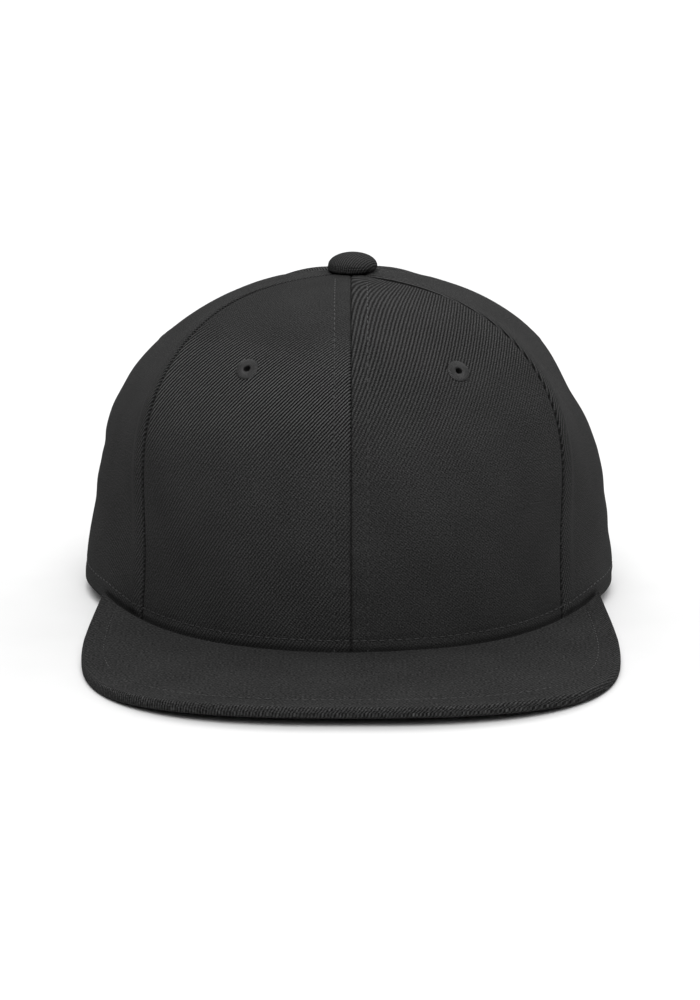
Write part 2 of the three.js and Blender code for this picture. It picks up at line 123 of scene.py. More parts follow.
# Dents and swells of the cloth: azimuth, spread, height, reach, depth as a share of the crown's half width
FOLDS = [
    (303, 40, 0.22, 0.5, 0.055),
    (57, 40, 0.22, 0.5, 0.055),
    (265, 45, 0.62, 0.34, -0.042),
    (95, 45, 0.62, 0.34, -0.042),
    (93, 40, 0.61, 0.23, 0.05),
    (257, 38, 0, 0.34, -0.036),
    (100, 48, 0, 0.34, -0.01),
]

# Slight swells of the cloth: azimuth, spread, height, reach, and how far the cloth stands out
SWELLS = [
    (115, 60, 0.9, 0.15, 0.55),
    (130, 60, 0.985, 0.04, 0.5),
    (95, 25, 0.53, 0.09, 0.6),
    (93, 20, 0.34, 0.07, 0.5),
    (92, 20, 0.16, 0.07, -0.5),
    (80, 22, 0, 0.13, 0.7),
    (240, 60, 0.975, 0.05, 0.3),
    (267, 22, 0.62, 0.07, -0.4),
    (269, 20, 0.45, 0.05, -0.5),
    (269, 18, 0.33, 0.08, 0.7),
]

# Facets of the fine meshes
PANEL_COLUMNS = 96
PANEL_ROWS = 150
BRIM_COLUMNS = 240
BRIM_ROUND_ROWS = 14
BRIM_BAND_ROWS = 8
BRIM_BOARD_ROWS = 34
BAND_COLUMNS = 260
BAND_ROWS = 24
STRAP_COLUMNS = 140
STRAP_ROWS = 20
BUTTON_COLUMNS = 96
BUTTON_ROWS = 36
RING_COLUMNS = 40

# Edges and seams of the cloth
EDGE_ROLL = 0.9  # radius on a turned edge of a panel
PLAIN_HEM = 3.2  # height of the hem that has no relief
PLAIN_HEM_FADE = 3
JOIN_ROLL = 1.8  # height over the brim in which the crown turns in to it
JOIN_DEPTH = 0.6  # how far it has turned in there
JOIN_FADE = 0.8  # depth below the brim's top at which that has ended
# Painted shade where the crown meets the brim: how much it darkens the cloth's colour
JOIN_PAINTED_SHADE = 0.6
CORNER_BLEND = 3  # degrees each side of the brim's corner over which the join ends
BRIM_SEAT = 0.05  # gap between the brim's back edge and the crown
BRIM_BACK_ROLL = 0.8  # radius on that edge
SEAM_SLIT = 0.02  # half of what stays open between two panels
SEAM_SHADE = 1.2  # half width of the painted shade along a seam that isn't stitched down
# Painted shade along such a seam: how much it darkens the cloth's colour at the seam itself
SEAM_PAINTED_SHADE = 0.85
SEAM_RIDGE = 0.15  # height of the cloth between a seam and its stitches
ALLOWANCE_LIFT = 0.7  # how high a seam's allowance lifts the cloth over it
ALLOWANCE_MIDDLE = 5.5
ALLOWANCE_REACH = 5.2
PUCKER = 0.12  # height of the small puckers beside a seam that is stitched down
PUCKER_REACH = 9
PUCKER_WAVE = 1.15
PUCKER_DRIFT = 5.3
STITCH_GROOVE = 0.15  # how deep the stitches draw the cloth in
HEM_GROOVE = 0.2
GROOVE_REACH = 1.1
NARROW_END = 24  # width at which a panel's relief starts to fade towards the button

# Slow unevenness of worn cloth: length of each wave across and along, its share of the phase, and its height
WAVES = [
    (11.3, 17.9, 1, 1),
    (19.7, -12.1, 2.1, 1),
    (6.7, 31, 3.7, 0.5),
]
WORN_FRONT = 0.12
WORN_REST = 0.25
WORN_BRIM = 0.16

# Lean of the ribs on the right front panel
LEAN_FROM = 66  # height up the cloth from which they bend
LEAN_REACH = 52  # height over which they bend
LEAN = 0.002  # bend for each millimetre of height
LEAN_EASE = 0.6  # share of it that is gone at the panel's far side

# Stitches
TOPSTITCH_SETBACK = 5.7
HEM_STITCH_SETBACK = 3.7
BRIM_STITCH_SETBACK = 11
BAND_STITCH_SETBACK = 4
STITCH_PITCH = 3
STITCH_LENGTH = 2.2
STITCH_WIDTH = 0.5
STITCH_HEIGHT = 0.3

# Satin stitch round the eyelets
EYELET_LAP = 0.8  # how far it covers the cloth
SATIN_STRANDS = 36
SATIN_WIDTH = 0.5
SATIN_HEIGHT = 0.6
SATIN_LIFT = 0.26

# Covered button, with its folds: how many, their phase and share, and its creases: height and reach
BUTTON_SIDE = 0.3  # share of its height at which it is widest
BUTTON_UNDER = 0.84  # share of its width underneath
BUTTON_LEAN = 0.6  # how far its dome has slipped to one side
BUTTON_GATHER = 0.016  # depth of its folds as a share of its radius
BUTTON_CREASE = 0.028
WASHER_EDGE = 0.3
BUTTON_FOLDS = [(19, 0, 0.6), (31, 1, 0.4)]
BUTTON_CREASES = [(0.34, 0.045), (0.2, 0.05)]

# Brim
BRIM_UNDER_START = 0.12  # how far past the rim's round the flat underside starts
BRIM_STITCH_END = 1.45  # way along the brim's outline at which its stitches end
BRIM_RIB = 0.15  # how strongly the twill's ribs show
RIM_RIB = 0.42
RIM_RIB_REACH = 7
RIM_RIB_FADE = 4

# Band and strap
BAND_EDGE_ROLL = 0.45
BAND_LIP = 0.25  # how thick the band's upper edge is rolled
BAND_LIP_REACH = 2.5
STRAP_CORNER = 5.5
STRAP_EDGE_ROLL = 0.4
SNAP_CHAMFER = 0.35

REAR_SEAM = 3  # its place round the crown, counted in panels
HALVINGS = 26  # steps of a search by halving
TINY = 1e-6  # keeps places off a seam, and divisors off zero


def lerp(start, end, share):
    return start + (end - start) * share


def smooth(value):
    value = np.clip(value, 0, 1)
    return value * value * (3 - 2 * value)


def bump(value):
    """1 at zero, falling smoothly to 0 at one."""
    return np.where(np.abs(value) < 1, np.cos(np.clip(value, -1, 1) * math.pi / 2) ** 2, 0.0)


def roll(distance, radius):
    """How far a surface has turned down at a distance from an edge that is rounded to a radius."""
    short = radius - np.clip(distance, 0, radius)
    return radius - np.sqrt(np.maximum(radius**2 - short**2, 0))


def turn_between(azimuth, other):
    return (azimuth - other + 180) % 360 - 180


def oval_radius(azimuth):
    along = np.cos(np.radians(azimuth))
    length = np.where(along > 0, CROWN_FRONT_LENGTH, CROWN_REAR_LENGTH)
    return 1 / np.hypot(np.sin(np.radians(azimuth)) / CROWN_HALF_WIDTH, along / length)


def fold_depth(azimuth, share):
    """How far the folds stand in from the plain oval."""
    depth = 0.0
    for at, spread, height, reach, amount in FOLDS:
        around = bump(turn_between(azimuth, at) / spread)
        depth = depth + amount * CROWN_HALF_WIDTH * around * bump((share - height) / reach)
    return depth


def in_plan(azimuth, radius, height):
    x = radius * np.sin(np.radians(azimuth))
    y = -radius * np.cos(np.radians(azimuth))
    return np.stack(np.broadcast_arrays(x, y, height), -1)


def hem_in_plan(azimuth, margin=0.0):
    return in_plan(azimuth, oval_radius(azimuth) - fold_depth(azimuth, 0) + margin, 0.0)[..., :2]


CORNER_BACK = hem_in_plan(BRIM_CORNER_AZIMUTH)[1]


def brim_crest(x, y):
    """Level of the brim's top over its lowest point, before it is set down."""
    back = (y + BRIM_FRONT) / (CORNER_BACK + BRIM_FRONT)
    middle = -BRIM_MIDDLE_LIFT * back
    side = -BRIM_DROOP + BRIM_SIDE_LIFT * back**2
    return lerp(middle, side, np.abs(x / BRIM_HALF_WIDTH) ** BRIM_DROOP_EXPONENT)


def brim_edge(way, side):
    """The brim's outline: way is 0 at the front middle, 1 at the widest place and 2 at the corner."""
    turn = np.minimum(way, 1) * math.pi / 2
    across, ahead = np.sin(turn), np.cos(turn)
    reach = (across**BRIM_SQUARENESS + ahead**BRIM_SQUARENESS) ** (-1 / BRIM_SQUARENESS)
    front_x = BRIM_HALF_WIDTH * across * reach
    front_y = -BRIM_WIDEST_AT - (BRIM_FRONT - BRIM_WIDEST_AT) * ahead * reach
    corner = hem_in_plan(side * BRIM_CORNER_AZIMUTH, CLEARANCE + BRIM_CORNER_WIDTH)
    past = np.clip(way - 1, 0, 1)
    tuck = BRIM_HALF_WIDTH - np.abs(corner[..., 0])
    x = np.where(way <= 1, front_x, BRIM_HALF_WIDTH - tuck * past**BRIM_TUCK_EXPONENT)
    y = np.where(way <= 1, front_y, lerp(-BRIM_WIDEST_AT, corner[..., 1], past))
    return np.stack((side * x, y), -1)


def brim_foot(way, side):
    """Place on the hem that faces a place on the brim's outline."""
    behind = lerp(BRIM_FACING_AZIMUTH, BRIM_CORNER_AZIMUTH, way - 1)
    azimuth = np.where(way <= 1, BRIM_FACING_AZIMUTH * way, behind)
    return hem_in_plan(side * azimuth, BRIM_SEAT)


def brim_plan(way, side, inward):
    """Place in plan at a distance in from the brim's outline, and the whole width there."""
    edge = brim_edge(way, side)
    foot = brim_foot(way, side)
    width = np.linalg.norm(foot - edge, axis=-1)
    return edge + (foot - edge) * (inward / width)[..., None], width


def brim_settling():
    """How far the brim comes down until the underside of its rim touches the resting plane."""
    way = np.abs(np.linspace(-1, 1, 25))
    side = np.sign(np.linspace(-1, 1, 25))
    place, _ = brim_plan(way, side, np.full(25, BRIM_RIM_ROUND))
    return brim_crest(place[:, 0], place[:, 1]).min() - (BRIM_RIM + BRIM_BOARD) / 2


BRIM_SETTLE = brim_settling()


def brim_top(x, y):
    return brim_crest(x, y) - BRIM_SETTLE


def hem_level(azimuth):
    """Level of the crown's lower edge."""
    turn = np.abs(turn_between(azimuth, 0))
    edge = hem_in_plan(np.minimum(turn, BRIM_CORNER_AZIMUTH))
    level = brim_top(edge[..., 0], edge[..., 1]) - BRIM_BOARD
    return level * (1 - smooth((turn - HEM_FALLS_FROM) / (HEM_RESTS_FROM - HEM_FALLS_FROM)))


def gore_at(gore, rise):
    """Azimuth and fullness at a place round the crown, counted in panels from the front seam."""
    round_ = gore % len(PANELS)
    index = np.minimum(np.floor(round_).astype(int), len(PANELS) - 1)
    across = round_ - index
    way = rise / 90
    weights = ((1 - way) * (1 - 2 * way), 4 * way * (1 - way), way * (2 * way - 1))
    shares = np.stack(np.broadcast_arrays(*weights), -1)
    start = (SEAMS[index, :3] * shares).sum(-1)
    end = (SEAMS[index + 1, :3] * shares).sum(-1)
    at_seams = lerp(SEAMS[index, 3], SEAMS[index + 1, 3], across)
    return lerp(start, end, across), lerp(FULLNESS[index], at_seams, (2 * across - 1) ** 2)


def crown_place(gore, rise):
    """A point outside the crown, with its azimuth and its share of the height."""
    gore, rise = np.broadcast_arrays(np.asarray(gore, float), np.asarray(rise, float))
    azimuth, fullness = gore_at(gore, rise)
    level = np.maximum(np.cos(np.radians(rise)), 0)
    up = np.sin(np.radians(rise))
    reach = (level**fullness + up**fullness) ** (-1 / fullness)
    share = up * reach
    radius = oval_radius(azimuth) * level * reach - fold_depth(azimuth, share)
    return in_plan(azimuth, radius, lerp(hem_level(azimuth), CROWN_TOP, share)), azimuth, share


def crown_point(gore, rise):
    return crown_place(gore, rise)[0]


def unit(vectors):
    return vectors / np.linalg.norm(vectors, axis=-1, keepdims=True)


def crown_normal(gore, rise):
    """The crown's outward direction, level along the hem."""
    across_step, up_step, level_up_to = 0.03, 0.5, 8
    across = crown_point(gore + across_step, rise) - crown_point(gore - across_step, rise)
    above = crown_point(gore, np.minimum(rise + up_step, 90))
    normal = unit(np.cross(across, above - crown_point(gore, np.maximum(rise - up_step, 0))))
    normal[..., 2] *= smooth(rise / level_up_to)
    return unit(normal)


def crown_inside(gore, rise, depth):
    return crown_point(gore, rise) - crown_normal(gore, rise) * np.asarray(depth)[..., None]


def rise_at_height(gore, height):
    """Rise at which the crown reaches a height above the resting plane."""
    azimuth, fullness = gore_at(gore, 0 * gore)
    level = hem_level(azimuth)
    share = np.maximum(height - level, 0) / (CROWN_TOP - level)
    return np.degrees(np.arctan2(share, (1 - share**fullness) ** (1 / fullness)))


def gore_at_azimuth(azimuth):
    return np.interp(azimuth % 360, SEAMS[:, 0], np.arange(len(SEAMS)))


def lengths_along(points, axis):
    """Running length along rows or columns of points."""
    steps = np.linalg.norm(np.diff(points, axis=axis), axis=-1)
    start = np.zeros_like(np.take(steps, [0], axis=axis))
    return np.concatenate((start, np.cumsum(steps, axis=axis)), axis=axis)


def placed(name, data):
    """A new object in the scene, at the origin."""
    thing = bpy.data.objects.new(name, data)
    bpy.context.scene.collection.objects.link(thing)
    return thing


def piece_from(name, mesh, material, nodes=()):
    """A finished piece: a mesh in place, on the body, standing for its nodes."""
    piece = placed(name, mesh)
    if material is not None:
        mesh.materials.clear()
        mesh.materials.append(material)
    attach(piece, BODY)
    if nodes:
        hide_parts(*nodes)
    return piece


def wall_mesh(name, outer, inner, cloth_map=None, keep=None, sharp=50, **fields):
    """A closed wall between two grids of points. Rows times columns point out of the outer one. Keep says which
    quads are there, the cloth map holds the cloth's own places in millimetres, and fields are named values."""
    rows, columns = outer.shape[0] - 1, outer.shape[1] - 1
    count = (rows + 1) * (columns + 1)
    keep = np.ones((rows, columns), bool) if keep is None else keep
    corner = np.arange(count).reshape(rows + 1, columns + 1)
    a, b, c, d = corner[:-1, :-1], corner[:-1, 1:], corner[1:, 1:], corner[1:, :-1]
    outside = np.stack((a, b, c, d), -1)[keep]
    inside = np.stack((a, d, c, b), -1)[keep] + count
    framed = np.pad(keep, 1)
    below, above = framed[:-1, 1:-1], framed[1:, 1:-1]
    before, after = framed[1:-1, :-1], framed[1:-1, 1:]
    along = np.stack((corner[:, :-1], corner[:, 1:]), -1)
    upward = np.stack((corner[:-1, :], corner[1:, :]), -1)
    edges = np.concatenate((
        along[above & ~below],
        along[below & ~above][:, ::-1],
        upward[before & ~after],
        upward[after & ~before][:, ::-1],
    ))
    start, end = edges[:, 0], edges[:, 1]
    borders = np.stack((end, start, start + count, end + count), -1)
    faces = np.concatenate((outside, inside, borders))
    points = np.concatenate((outer.reshape(-1, 3), inner.reshape(-1, 3))) * MM
    used, faces = np.unique(faces, return_inverse=True)
    faces = faces.reshape(-1, 4)
    mesh = bpy.data.meshes.new(name)
    mesh.from_pydata(points[used].tolist(), [], faces.tolist())
    if cloth_map is not None:
        layer = mesh.uv_layers.new(name="cloth")
        layer.data.foreach_set("uv", cloth_map.reshape(-1, 2)[used % count][faces.ravel()].ravel())
    for field, values in fields.items():
        attribute = mesh.attributes.new(field, "FLOAT", "POINT")
        attribute.data.foreach_set("value", values.ravel()[used % count].astype(np.float32))
    mesh.shade_smooth()
    mesh.set_sharp_from_angle(angle=math.radians(sharp))
    mesh.update()
    return mesh


def punch(outer, inner, keep, centre, direction, radius):
    """Takes a round hole out of both grids of a wall, and draws the quads' corners onto its edge."""
    def beside(points):
        away = points - centre
        height = away @ direction
        level = away - height[..., None] * direction
        return np.linalg.norm(level, axis=-1), level, height

    middles = (outer[:-1, :-1] + outer[:-1, 1:] + outer[1:, 1:] + outer[1:, :-1]) / 4
    distance, _, height = beside(middles)
    hole = (distance < radius) & (np.abs(height) < radius)
    framed = np.pad(hole, 1)
    touches = np.stack((framed[:-1, :-1], framed[:-1, 1:], framed[1:, :-1], framed[1:, 1:]))
    edge = touches.any(0) & ~touches.all(0)
    for grid in (outer, inner):
        distance, level, height = beside(grid)
        stretch = radius / np.maximum(distance, TINY)
        ring = centre + level * stretch[..., None] + height[..., None] * direction
        grid[edge] = ring[edge]
    keep &= ~hole


# Colours and nodes


def linear(colour):
    """An sRGB hex colour as linear red, green, blue and alpha."""
    parts = [int(colour[place:place + 2], 16) / 255 for place in (1, 3, 5)]
    return (*[part / 12.92 if part <= 0.04045 else ((part + 0.055) / 1.055) ** 2.4 for part in parts], 1)


def add(tree, kind, inputs=None, **settings):
    """Adds a node with its settings, and sets or links its inputs. A list of outputs is linked one by one."""
    node = tree.nodes.new(kind)
    for setting, value in settings.items():
        setattr(node, setting, value)
    for socket, value in (inputs or {}).items():
        if isinstance(value, (list, bpy.types.NodeSocket)):
            for output in value if isinstance(value, list) else [value]:
                tree.links.new(output, node.inputs[socket])
        else:
            node.inputs[socket].default_value = value
    return node


def shader_socket(material, word):
    """A socket of a material's shader, by its name in small letters."""
    shader = material.node_tree.nodes["Principled BSDF"]
    return shader.inputs[word.replace("_", " ").title().replace("Ior", "IOR")]


def start_material(name, **values):
    """A material and its tree, with the fixed values set on the shader's own sockets."""
    material = bpy.data.materials.new(name)
    material.use_nodes = True
    for word, value in values.items():
        shader_socket(material, word).default_value = value
    return material, material.node_tree


def finish_material(material, tone=None, shades=None, relief=None, depth=0, **outputs):
    """Links a tone as a colour between two shades, relief that is so many millimetres deep, and other outputs."""
    tree = material.node_tree
    if tone is not None:
        dark, light = (linear(shade) for shade in shades)
        mixed = add(tree, "ShaderNodeMixRGB", {"Fac": tone, "Color1": dark, "Color2": light})
        outputs["base_color"] = mixed.outputs["Color"]
    if relief is not None:
        lifted = add(tree, "ShaderNodeBump", {"Height": relief, "Distance": depth * MM})
        outputs["normal"] = lifted.outputs["Normal"]
    for word, output in outputs.items():
        tree.links.new(output, shader_socket(material, word))
    return material


TWILL_ANGLE = 59  # degrees from the cloth's own width to its ribs
FLOAT_PITCH = 0.75  # length of the threads that lie over a rib
BLOTCH_PITCH = 20  # width of the slightly paler places in worn cloth
WAVE_TURNS = 0.314159  # scale of a wave texture whose bands are one unit apart


def cotton_twill(name, shades, rib_pitch, rib_depth, fleck_pitch, fleck):
    """Black cotton twill, woven: slanted ribs with dark valleys, matt, with fine pale fibres on it."""
    material, tree = start_material(name, roughness=0.97, specular_ior_level=0.06)
    cloth = add(tree, "ShaderNodeUVMap", uv_map="cloth").outputs["UV"]
    turned = add(tree, "ShaderNodeMapping", {
        "Vector": cloth,
        "Rotation": (0, 0, -math.radians(TWILL_ANGLE)),
    }).outputs["Vector"]
    ribs, floats = [
        add(tree, "ShaderNodeTexWave", {
            "Vector": turned,
            "Scale": WAVE_TURNS / pitch,
            "Distortion": distortion,
            "Detail": 2,
            "Detail Scale": detail_scale,
        }, wave_type="BANDS", bands_direction=direction).outputs["Fac"]
        for direction, pitch, distortion, detail_scale in (
            ("Y", rib_pitch, 1.1, 1.6),
            ("X", FLOAT_PITCH, 1.5, 2),
        )
    ]
    fibres, blotches = [
        add(tree, "ShaderNodeTexNoise", {"Vector": cloth, "Scale": 1 / pitch, "Detail": 3}).outputs["Fac"]
        for pitch in (fleck_pitch, BLOTCH_PITCH)
    ]
    ribs, fibres, blotches = [
        add(tree, "ShaderNodeMath", {0: pattern, 1: 0.5}, operation="SUBTRACT").outputs[0]
        for pattern in (ribs, fibres, blotches)
    ]
    # The first field sets the ribs' contrast, which on the crown's panels is also painted sheen; the second is
    # painted shade, darkening the colour in seams and where the crown meets the brim
    strength, hollow = [
        add(tree, "ShaderNodeAttribute", attribute_name=field).outputs["Fac"]
        for field in ("rib", "hollow")
    ]
    sums = [0.5]
    for pattern, amount in ((ribs, strength), (floats, 0.14), (fibres, fleck), (blotches, 0.15)):
        total = add(tree, "ShaderNodeMath", {0: pattern, 1: amount, 2: sums[-1]}, operation="MULTIPLY_ADD")
        sums.append(total.outputs[0])
    grain, toned = sums[-2:]
    tone = add(tree, "ShaderNodeMapRange", {"Value": toned, "From Min": 0.02, "From Max": 1.12})
    seen = add(tree, "ShaderNodeMath", {0: tone.outputs["Result"], 1: 2.0}, operation="POWER")
    # Painted shade: the colour is darkened by the second field
    lit = add(tree, "ShaderNodeMath", {0: 1.0, 1: hollow}, operation="SUBTRACT")
    shown = add(tree, "ShaderNodeMath", {0: seen.outputs[0], 1: lit.outputs[0]}, operation="MULTIPLY")
    return finish_material(material, shown.outputs[0], shades, grain, rib_depth)


def plain_weave(name, shades, thread_pitch):
    """Black cotton band, plain woven: small even checks of thread."""
    material, tree = start_material(name, roughness=0.9, specular_ior_level=0.25)
    cloth = add(tree, "ShaderNodeUVMap", uv_map="cloth").outputs["UV"]
    warp, weft = [
        add(tree, "ShaderNodeTexWave", {
            "Vector": cloth,
            "Scale": WAVE_TURNS / thread_pitch,
            "Distortion": 0.5,
        }, wave_type="BANDS", bands_direction=direction).outputs["Fac"]
        for direction in "XY"
    ]
    weave = add(tree, "ShaderNodeMath", {0: warp, 1: weft}, operation="MULTIPLY").outputs[0]
    return finish_material(material, weave, shades, weave, 0.15)


def sewing_thread(name, shades):
    """Spun polyester thread: a soft low gloss over fine twisted strands."""
    material, tree = start_material(name, roughness=0.6, specular_ior_level=0.4)
    place = add(tree, "ShaderNodeTexCoord").outputs["Object"]
    strands = add(tree, "ShaderNodeTexNoise", {"Vector": place, "Scale": 1.4 / MM, "Detail": 2}).outputs["Fac"]
    return finish_material(material, strands, shades, strands, 0.06)


def moulded_polyethylene(name, colour):
    """Black polyethylene, moulded: smooth with a dull gloss and a faint orange peel."""
    material, tree = start_material(name, base_color=linear(colour), ior=1.51)
    place = add(tree, "ShaderNodeTexCoord").outputs["Object"]
    peel = add(tree, "ShaderNodeTexNoise", {"Vector": place, "Scale": 0.8 / MM, "Detail": 3}).outputs["Fac"]
    gloss = add(tree, "ShaderNodeMapRange", {"Value": peel, "To Min": 0.36, "To Max": 0.5})
    return finish_material(material, relief=peel, depth=0.03, roughness=gloss.outputs["Result"])


def white_paper(name, shades):
    """Seamless studio paper: matt and white."""
    material, tree = start_material(name, roughness=1, specular_ior_level=0)
    place = add(tree, "ShaderNodeTexCoord").outputs["Object"]
    fibre = add(tree, "ShaderNodeTexNoise", {"Vector": place, "Scale": 30, "Detail": 2}).outputs["Fac"]
    return finish_material(material, fibre, shades)


# Geometry Nodes for what repeats


def node_group(name, **sockets):
    """A geometry tree with one geometry output, and named inputs of the kinds that are given."""
    tree = bpy.data.node_groups.new(name, "GeometryNodeTree")
    for way in ("INPUT", "OUTPUT"):
        tree.interface.new_socket("Geometry", in_out=way, socket_type="NodeSocketGeometry")
    for socket, kind in sockets.items():
        tree.interface.new_socket(socket.replace("_", " "), in_out="INPUT", socket_type=f"NodeSocket{kind}")
    return tree, add(tree, "NodeGroupInput").outputs


def finish_tree(tree, geometry, material):
    """Ends a tree: instances made real, shaded smooth and given their material."""
    real = add(tree, "GeometryNodeRealizeInstances", {"Geometry": geometry}).outputs["Geometry"]
    shaded = add(tree, "GeometryNodeSetShadeSmooth", {"Geometry": real}).outputs["Geometry"]
    painted = add(tree, "GeometryNodeSetMaterial", {"Geometry": shaded, "Material": material})
    add(tree, "NodeGroupOutput", {"Geometry": painted.outputs["Geometry"]})
    return tree


def upright(tree):
    """The rotation that stands a thing up along its point's outward direction."""
    outward = add(tree, "GeometryNodeInputNamedAttribute", {"Name": "outward"}, data_type="FLOAT_VECTOR")
    return add(tree, "FunctionNodeAlignRotationToVector", {
        "Vector": outward.outputs["Attribute"],
    }, axis="Z").outputs["Rotation"]


def thread_bead(tree, given, segments, rings):
    """A rounded length of thread, as long, wide and high as the tree's inputs say."""
    bead = add(tree, "GeometryNodeMeshUVSphere", {"Segments": segments, "Rings": rings, "Radius": 0.5})
    sizes = {"X": given["Length"], "Y": given["Width"], "Z": given["Height"]}
    return add(tree, "GeometryNodeTransform", {
        "Geometry": bead.outputs["Mesh"],
        "Scale": add(tree, "ShaderNodeCombineXYZ", sizes).outputs["Vector"],
    }).outputs["Geometry"]


def moved_up(tree, geometry, height):
    lift = add(tree, "ShaderNodeCombineXYZ", {"Z": height}).outputs["Vector"]
    return add(tree, "GeometryNodeTransform", {"Geometry": geometry, "Translation": lift}).outputs["Geometry"]


def stitch_tree():
    """Stitches at an even pitch along paths whose points know which way is out of the cloth."""
    tree, given = node_group(
        "stitch rows", Pitch="Float", Length="Float", Width="Float", Height="Float", Thread="Material"
    )
    path = add(tree, "GeometryNodeMeshToCurve", {"Mesh": given["Geometry"]}).outputs["Curve"]
    spaced_path = add(tree, "GeometryNodeResampleCurve", {
        "Curve": path,
        "Length": given["Pitch"],
    }, mode="LENGTH")
    along = add(tree, "FunctionNodeAlignRotationToVector", {
        "Rotation": upright(tree),
        "Vector": add(tree, "GeometryNodeInputTangent").outputs["Tangent"],
    }, axis="X", pivot_axis="Z")
    sewn = add(tree, "GeometryNodeInstanceOnPoints", {
        "Points": spaced_path.outputs["Curve"],
        "Instance": thread_bead(tree, given, 8, 5),
        "Rotation": along.outputs["Rotation"],
    })
    return finish_tree(tree, sewn.outputs["Instances"], given["Thread"])


def satin_tree():
    """Thread laid side by side from the inner to the outer edge of a ring, over the ring's body."""
    tree, given = node_group(
        "satin ring", Strands="Int", Middle_Radius="Float", Lift="Float",
        Length="Float", Width="Float", Height="Float", Thread="Material",
    )
    circle = add(tree, "GeometryNodeMeshCircle", {
        "Vertices": given["Strands"],
        "Radius": given["Middle Radius"],
    }).outputs["Mesh"]
    outward = add(tree, "FunctionNodeAlignRotationToVector", {
        "Vector": add(tree, "GeometryNodeInputPosition").outputs["Position"],
    }, axis="X", pivot_axis="Z").outputs["Rotation"]
    laid = add(tree, "GeometryNodeInstanceOnPoints", {
        "Points": moved_up(tree, circle, given["Lift"]),
        "Instance": thread_bead(tree, given, 6, 6),
        "Rotation": outward,
    }).outputs["Instances"]
    both = add(tree, "GeometryNodeJoinGeometry", {"Geometry": [given["Geometry"], laid]})
    return finish_tree(tree, both.outputs["Geometry"], given["Thread"])


def peg_tree():
    """Snap pegs with chamfered heads, standing out along each point's outward direction."""
    tree, given = node_group("snap pegs", Radius="Float", Length="Float", Chamfer="Float", Plastic="Material")
    narrow = add(tree, "ShaderNodeMath", {0: given["Radius"], 1: given["Chamfer"]}, operation="SUBTRACT")
    stem, head = [
        add(tree, "GeometryNodeMeshCone", {
            "Vertices": 28,
            "Side Segments": segments,
            "Radius Top": top,
            "Radius Bottom": given["Radius"],
            "Depth": depth,
        }).outputs["Mesh"]
        for segments, top, depth in (
            (3, given["Radius"], given["Length"]),
            (1, narrow.outputs[0], given["Chamfer"]),
        )
    ]
    peg = add(tree, "GeometryNodeJoinGeometry", {"Geometry": [stem, moved_up(tree, head, given["Length"])]})
    set_up = add(tree, "GeometryNodeInstanceOnPoints", {
        "Points": given["Geometry"],
        "Instance": peg.outputs["Geometry"],
        "Rotation": upright(tree),
    }).outputs["Instances"]
    return finish_tree(tree, set_up, given["Plastic"])


def grown_mesh(name, seed_mesh, tree, **values):
    """What a tree makes of a mesh, as a plain mesh. The values are the tree's named inputs."""
    host = placed(name, seed_mesh)
    modifier = host.modifiers.new("grow", "NODES")
    modifier.node_group = tree
    names = {item.name: item.identifier for item in tree.interface.items_tree if item.in_out == "INPUT"}
    for socket, value in values.items():
        modifier[names[socket.replace("_", " ")]] = value
    evaluated = host.evaluated_get(bpy.context.evaluated_depsgraph_get())
    mesh = bpy.data.meshes.new_from_object(evaluated)
    host.modifiers.clear()
    bpy.data.objects.remove(host)
    mesh.name = name
    return mesh


def path_mesh(name, paths):
    """Paths as loose edges. Each is a pair: its points, and the outward direction at each."""
    points, edges, outward = [], [], []
    for places, directions in paths:
        first = len(points)
        points.extend((places * MM).tolist())
        outward.extend(directions.tolist())
        edges.extend((step, step + 1) for step in range(first, len(points) - 1))
    mesh = bpy.data.meshes.new(name)
    mesh.from_pydata(points, edges, [])
    attribute = mesh.attributes.new("outward", "FLOAT_VECTOR", "POINT")
    attribute.data.foreach_set("vector", np.array(outward, np.float32).ravel())
    return mesh


# Crown panels


def spaced(count, evenness=0.75):
    """Shares from 0 to 1, a little closer together at both ends."""
    even = np.linspace(0, 1, count + 1)
    return lerp(0.5 - 0.5 * np.cos(math.pi * even), even, evenness)


def last_rise(gore):
    """Rise at which a panel ends, at the hole for the button's shank."""
    hole = BUTTON_SHANK_RADIUS + CLEARANCE
    return np.degrees(np.arctan2(oval_radius(gore_at(gore, 0 * gore)[0]), hole))


def rise_above_plane(gore, height):
    """Rise at which the true surface reaches a height, found by halving."""
    low, high = np.zeros_like(gore), np.full_like(gore, 89.0)
    for _ in range(HALVINGS):
        rise = (low + high) / 2
        under = crown_point(gore, rise)[..., 2] < height
        low = np.where(under, rise, low)
        high = np.where(under, high, rise)
    return (low + high) / 2


def arch_edge(index, turns):
    """Places on the half moon in a rear panel: gore and rise for turns from its top down to the hem."""
    x, z = ARCH_HEIGHT * np.sin(turns), ARCH_HEIGHT * np.cos(turns)
    away = TINY - 1 if PANELS[index][0].endswith("right") else 1 - TINY
    near, far = np.zeros_like(turns), np.ones_like(turns)
    for _ in range(HALVINGS):
        share = (near + far) / 2
        gore = REAR_SEAM + away * share
        outside = np.abs(crown_point(gore, rise_above_plane(gore, z))[..., 0]) > x
        far = np.where(outside, share, far)
        near = np.where(outside, near, share)
    gore = REAR_SEAM + away * (near + far) / 2
    return gore, rise_above_plane(gore, z)


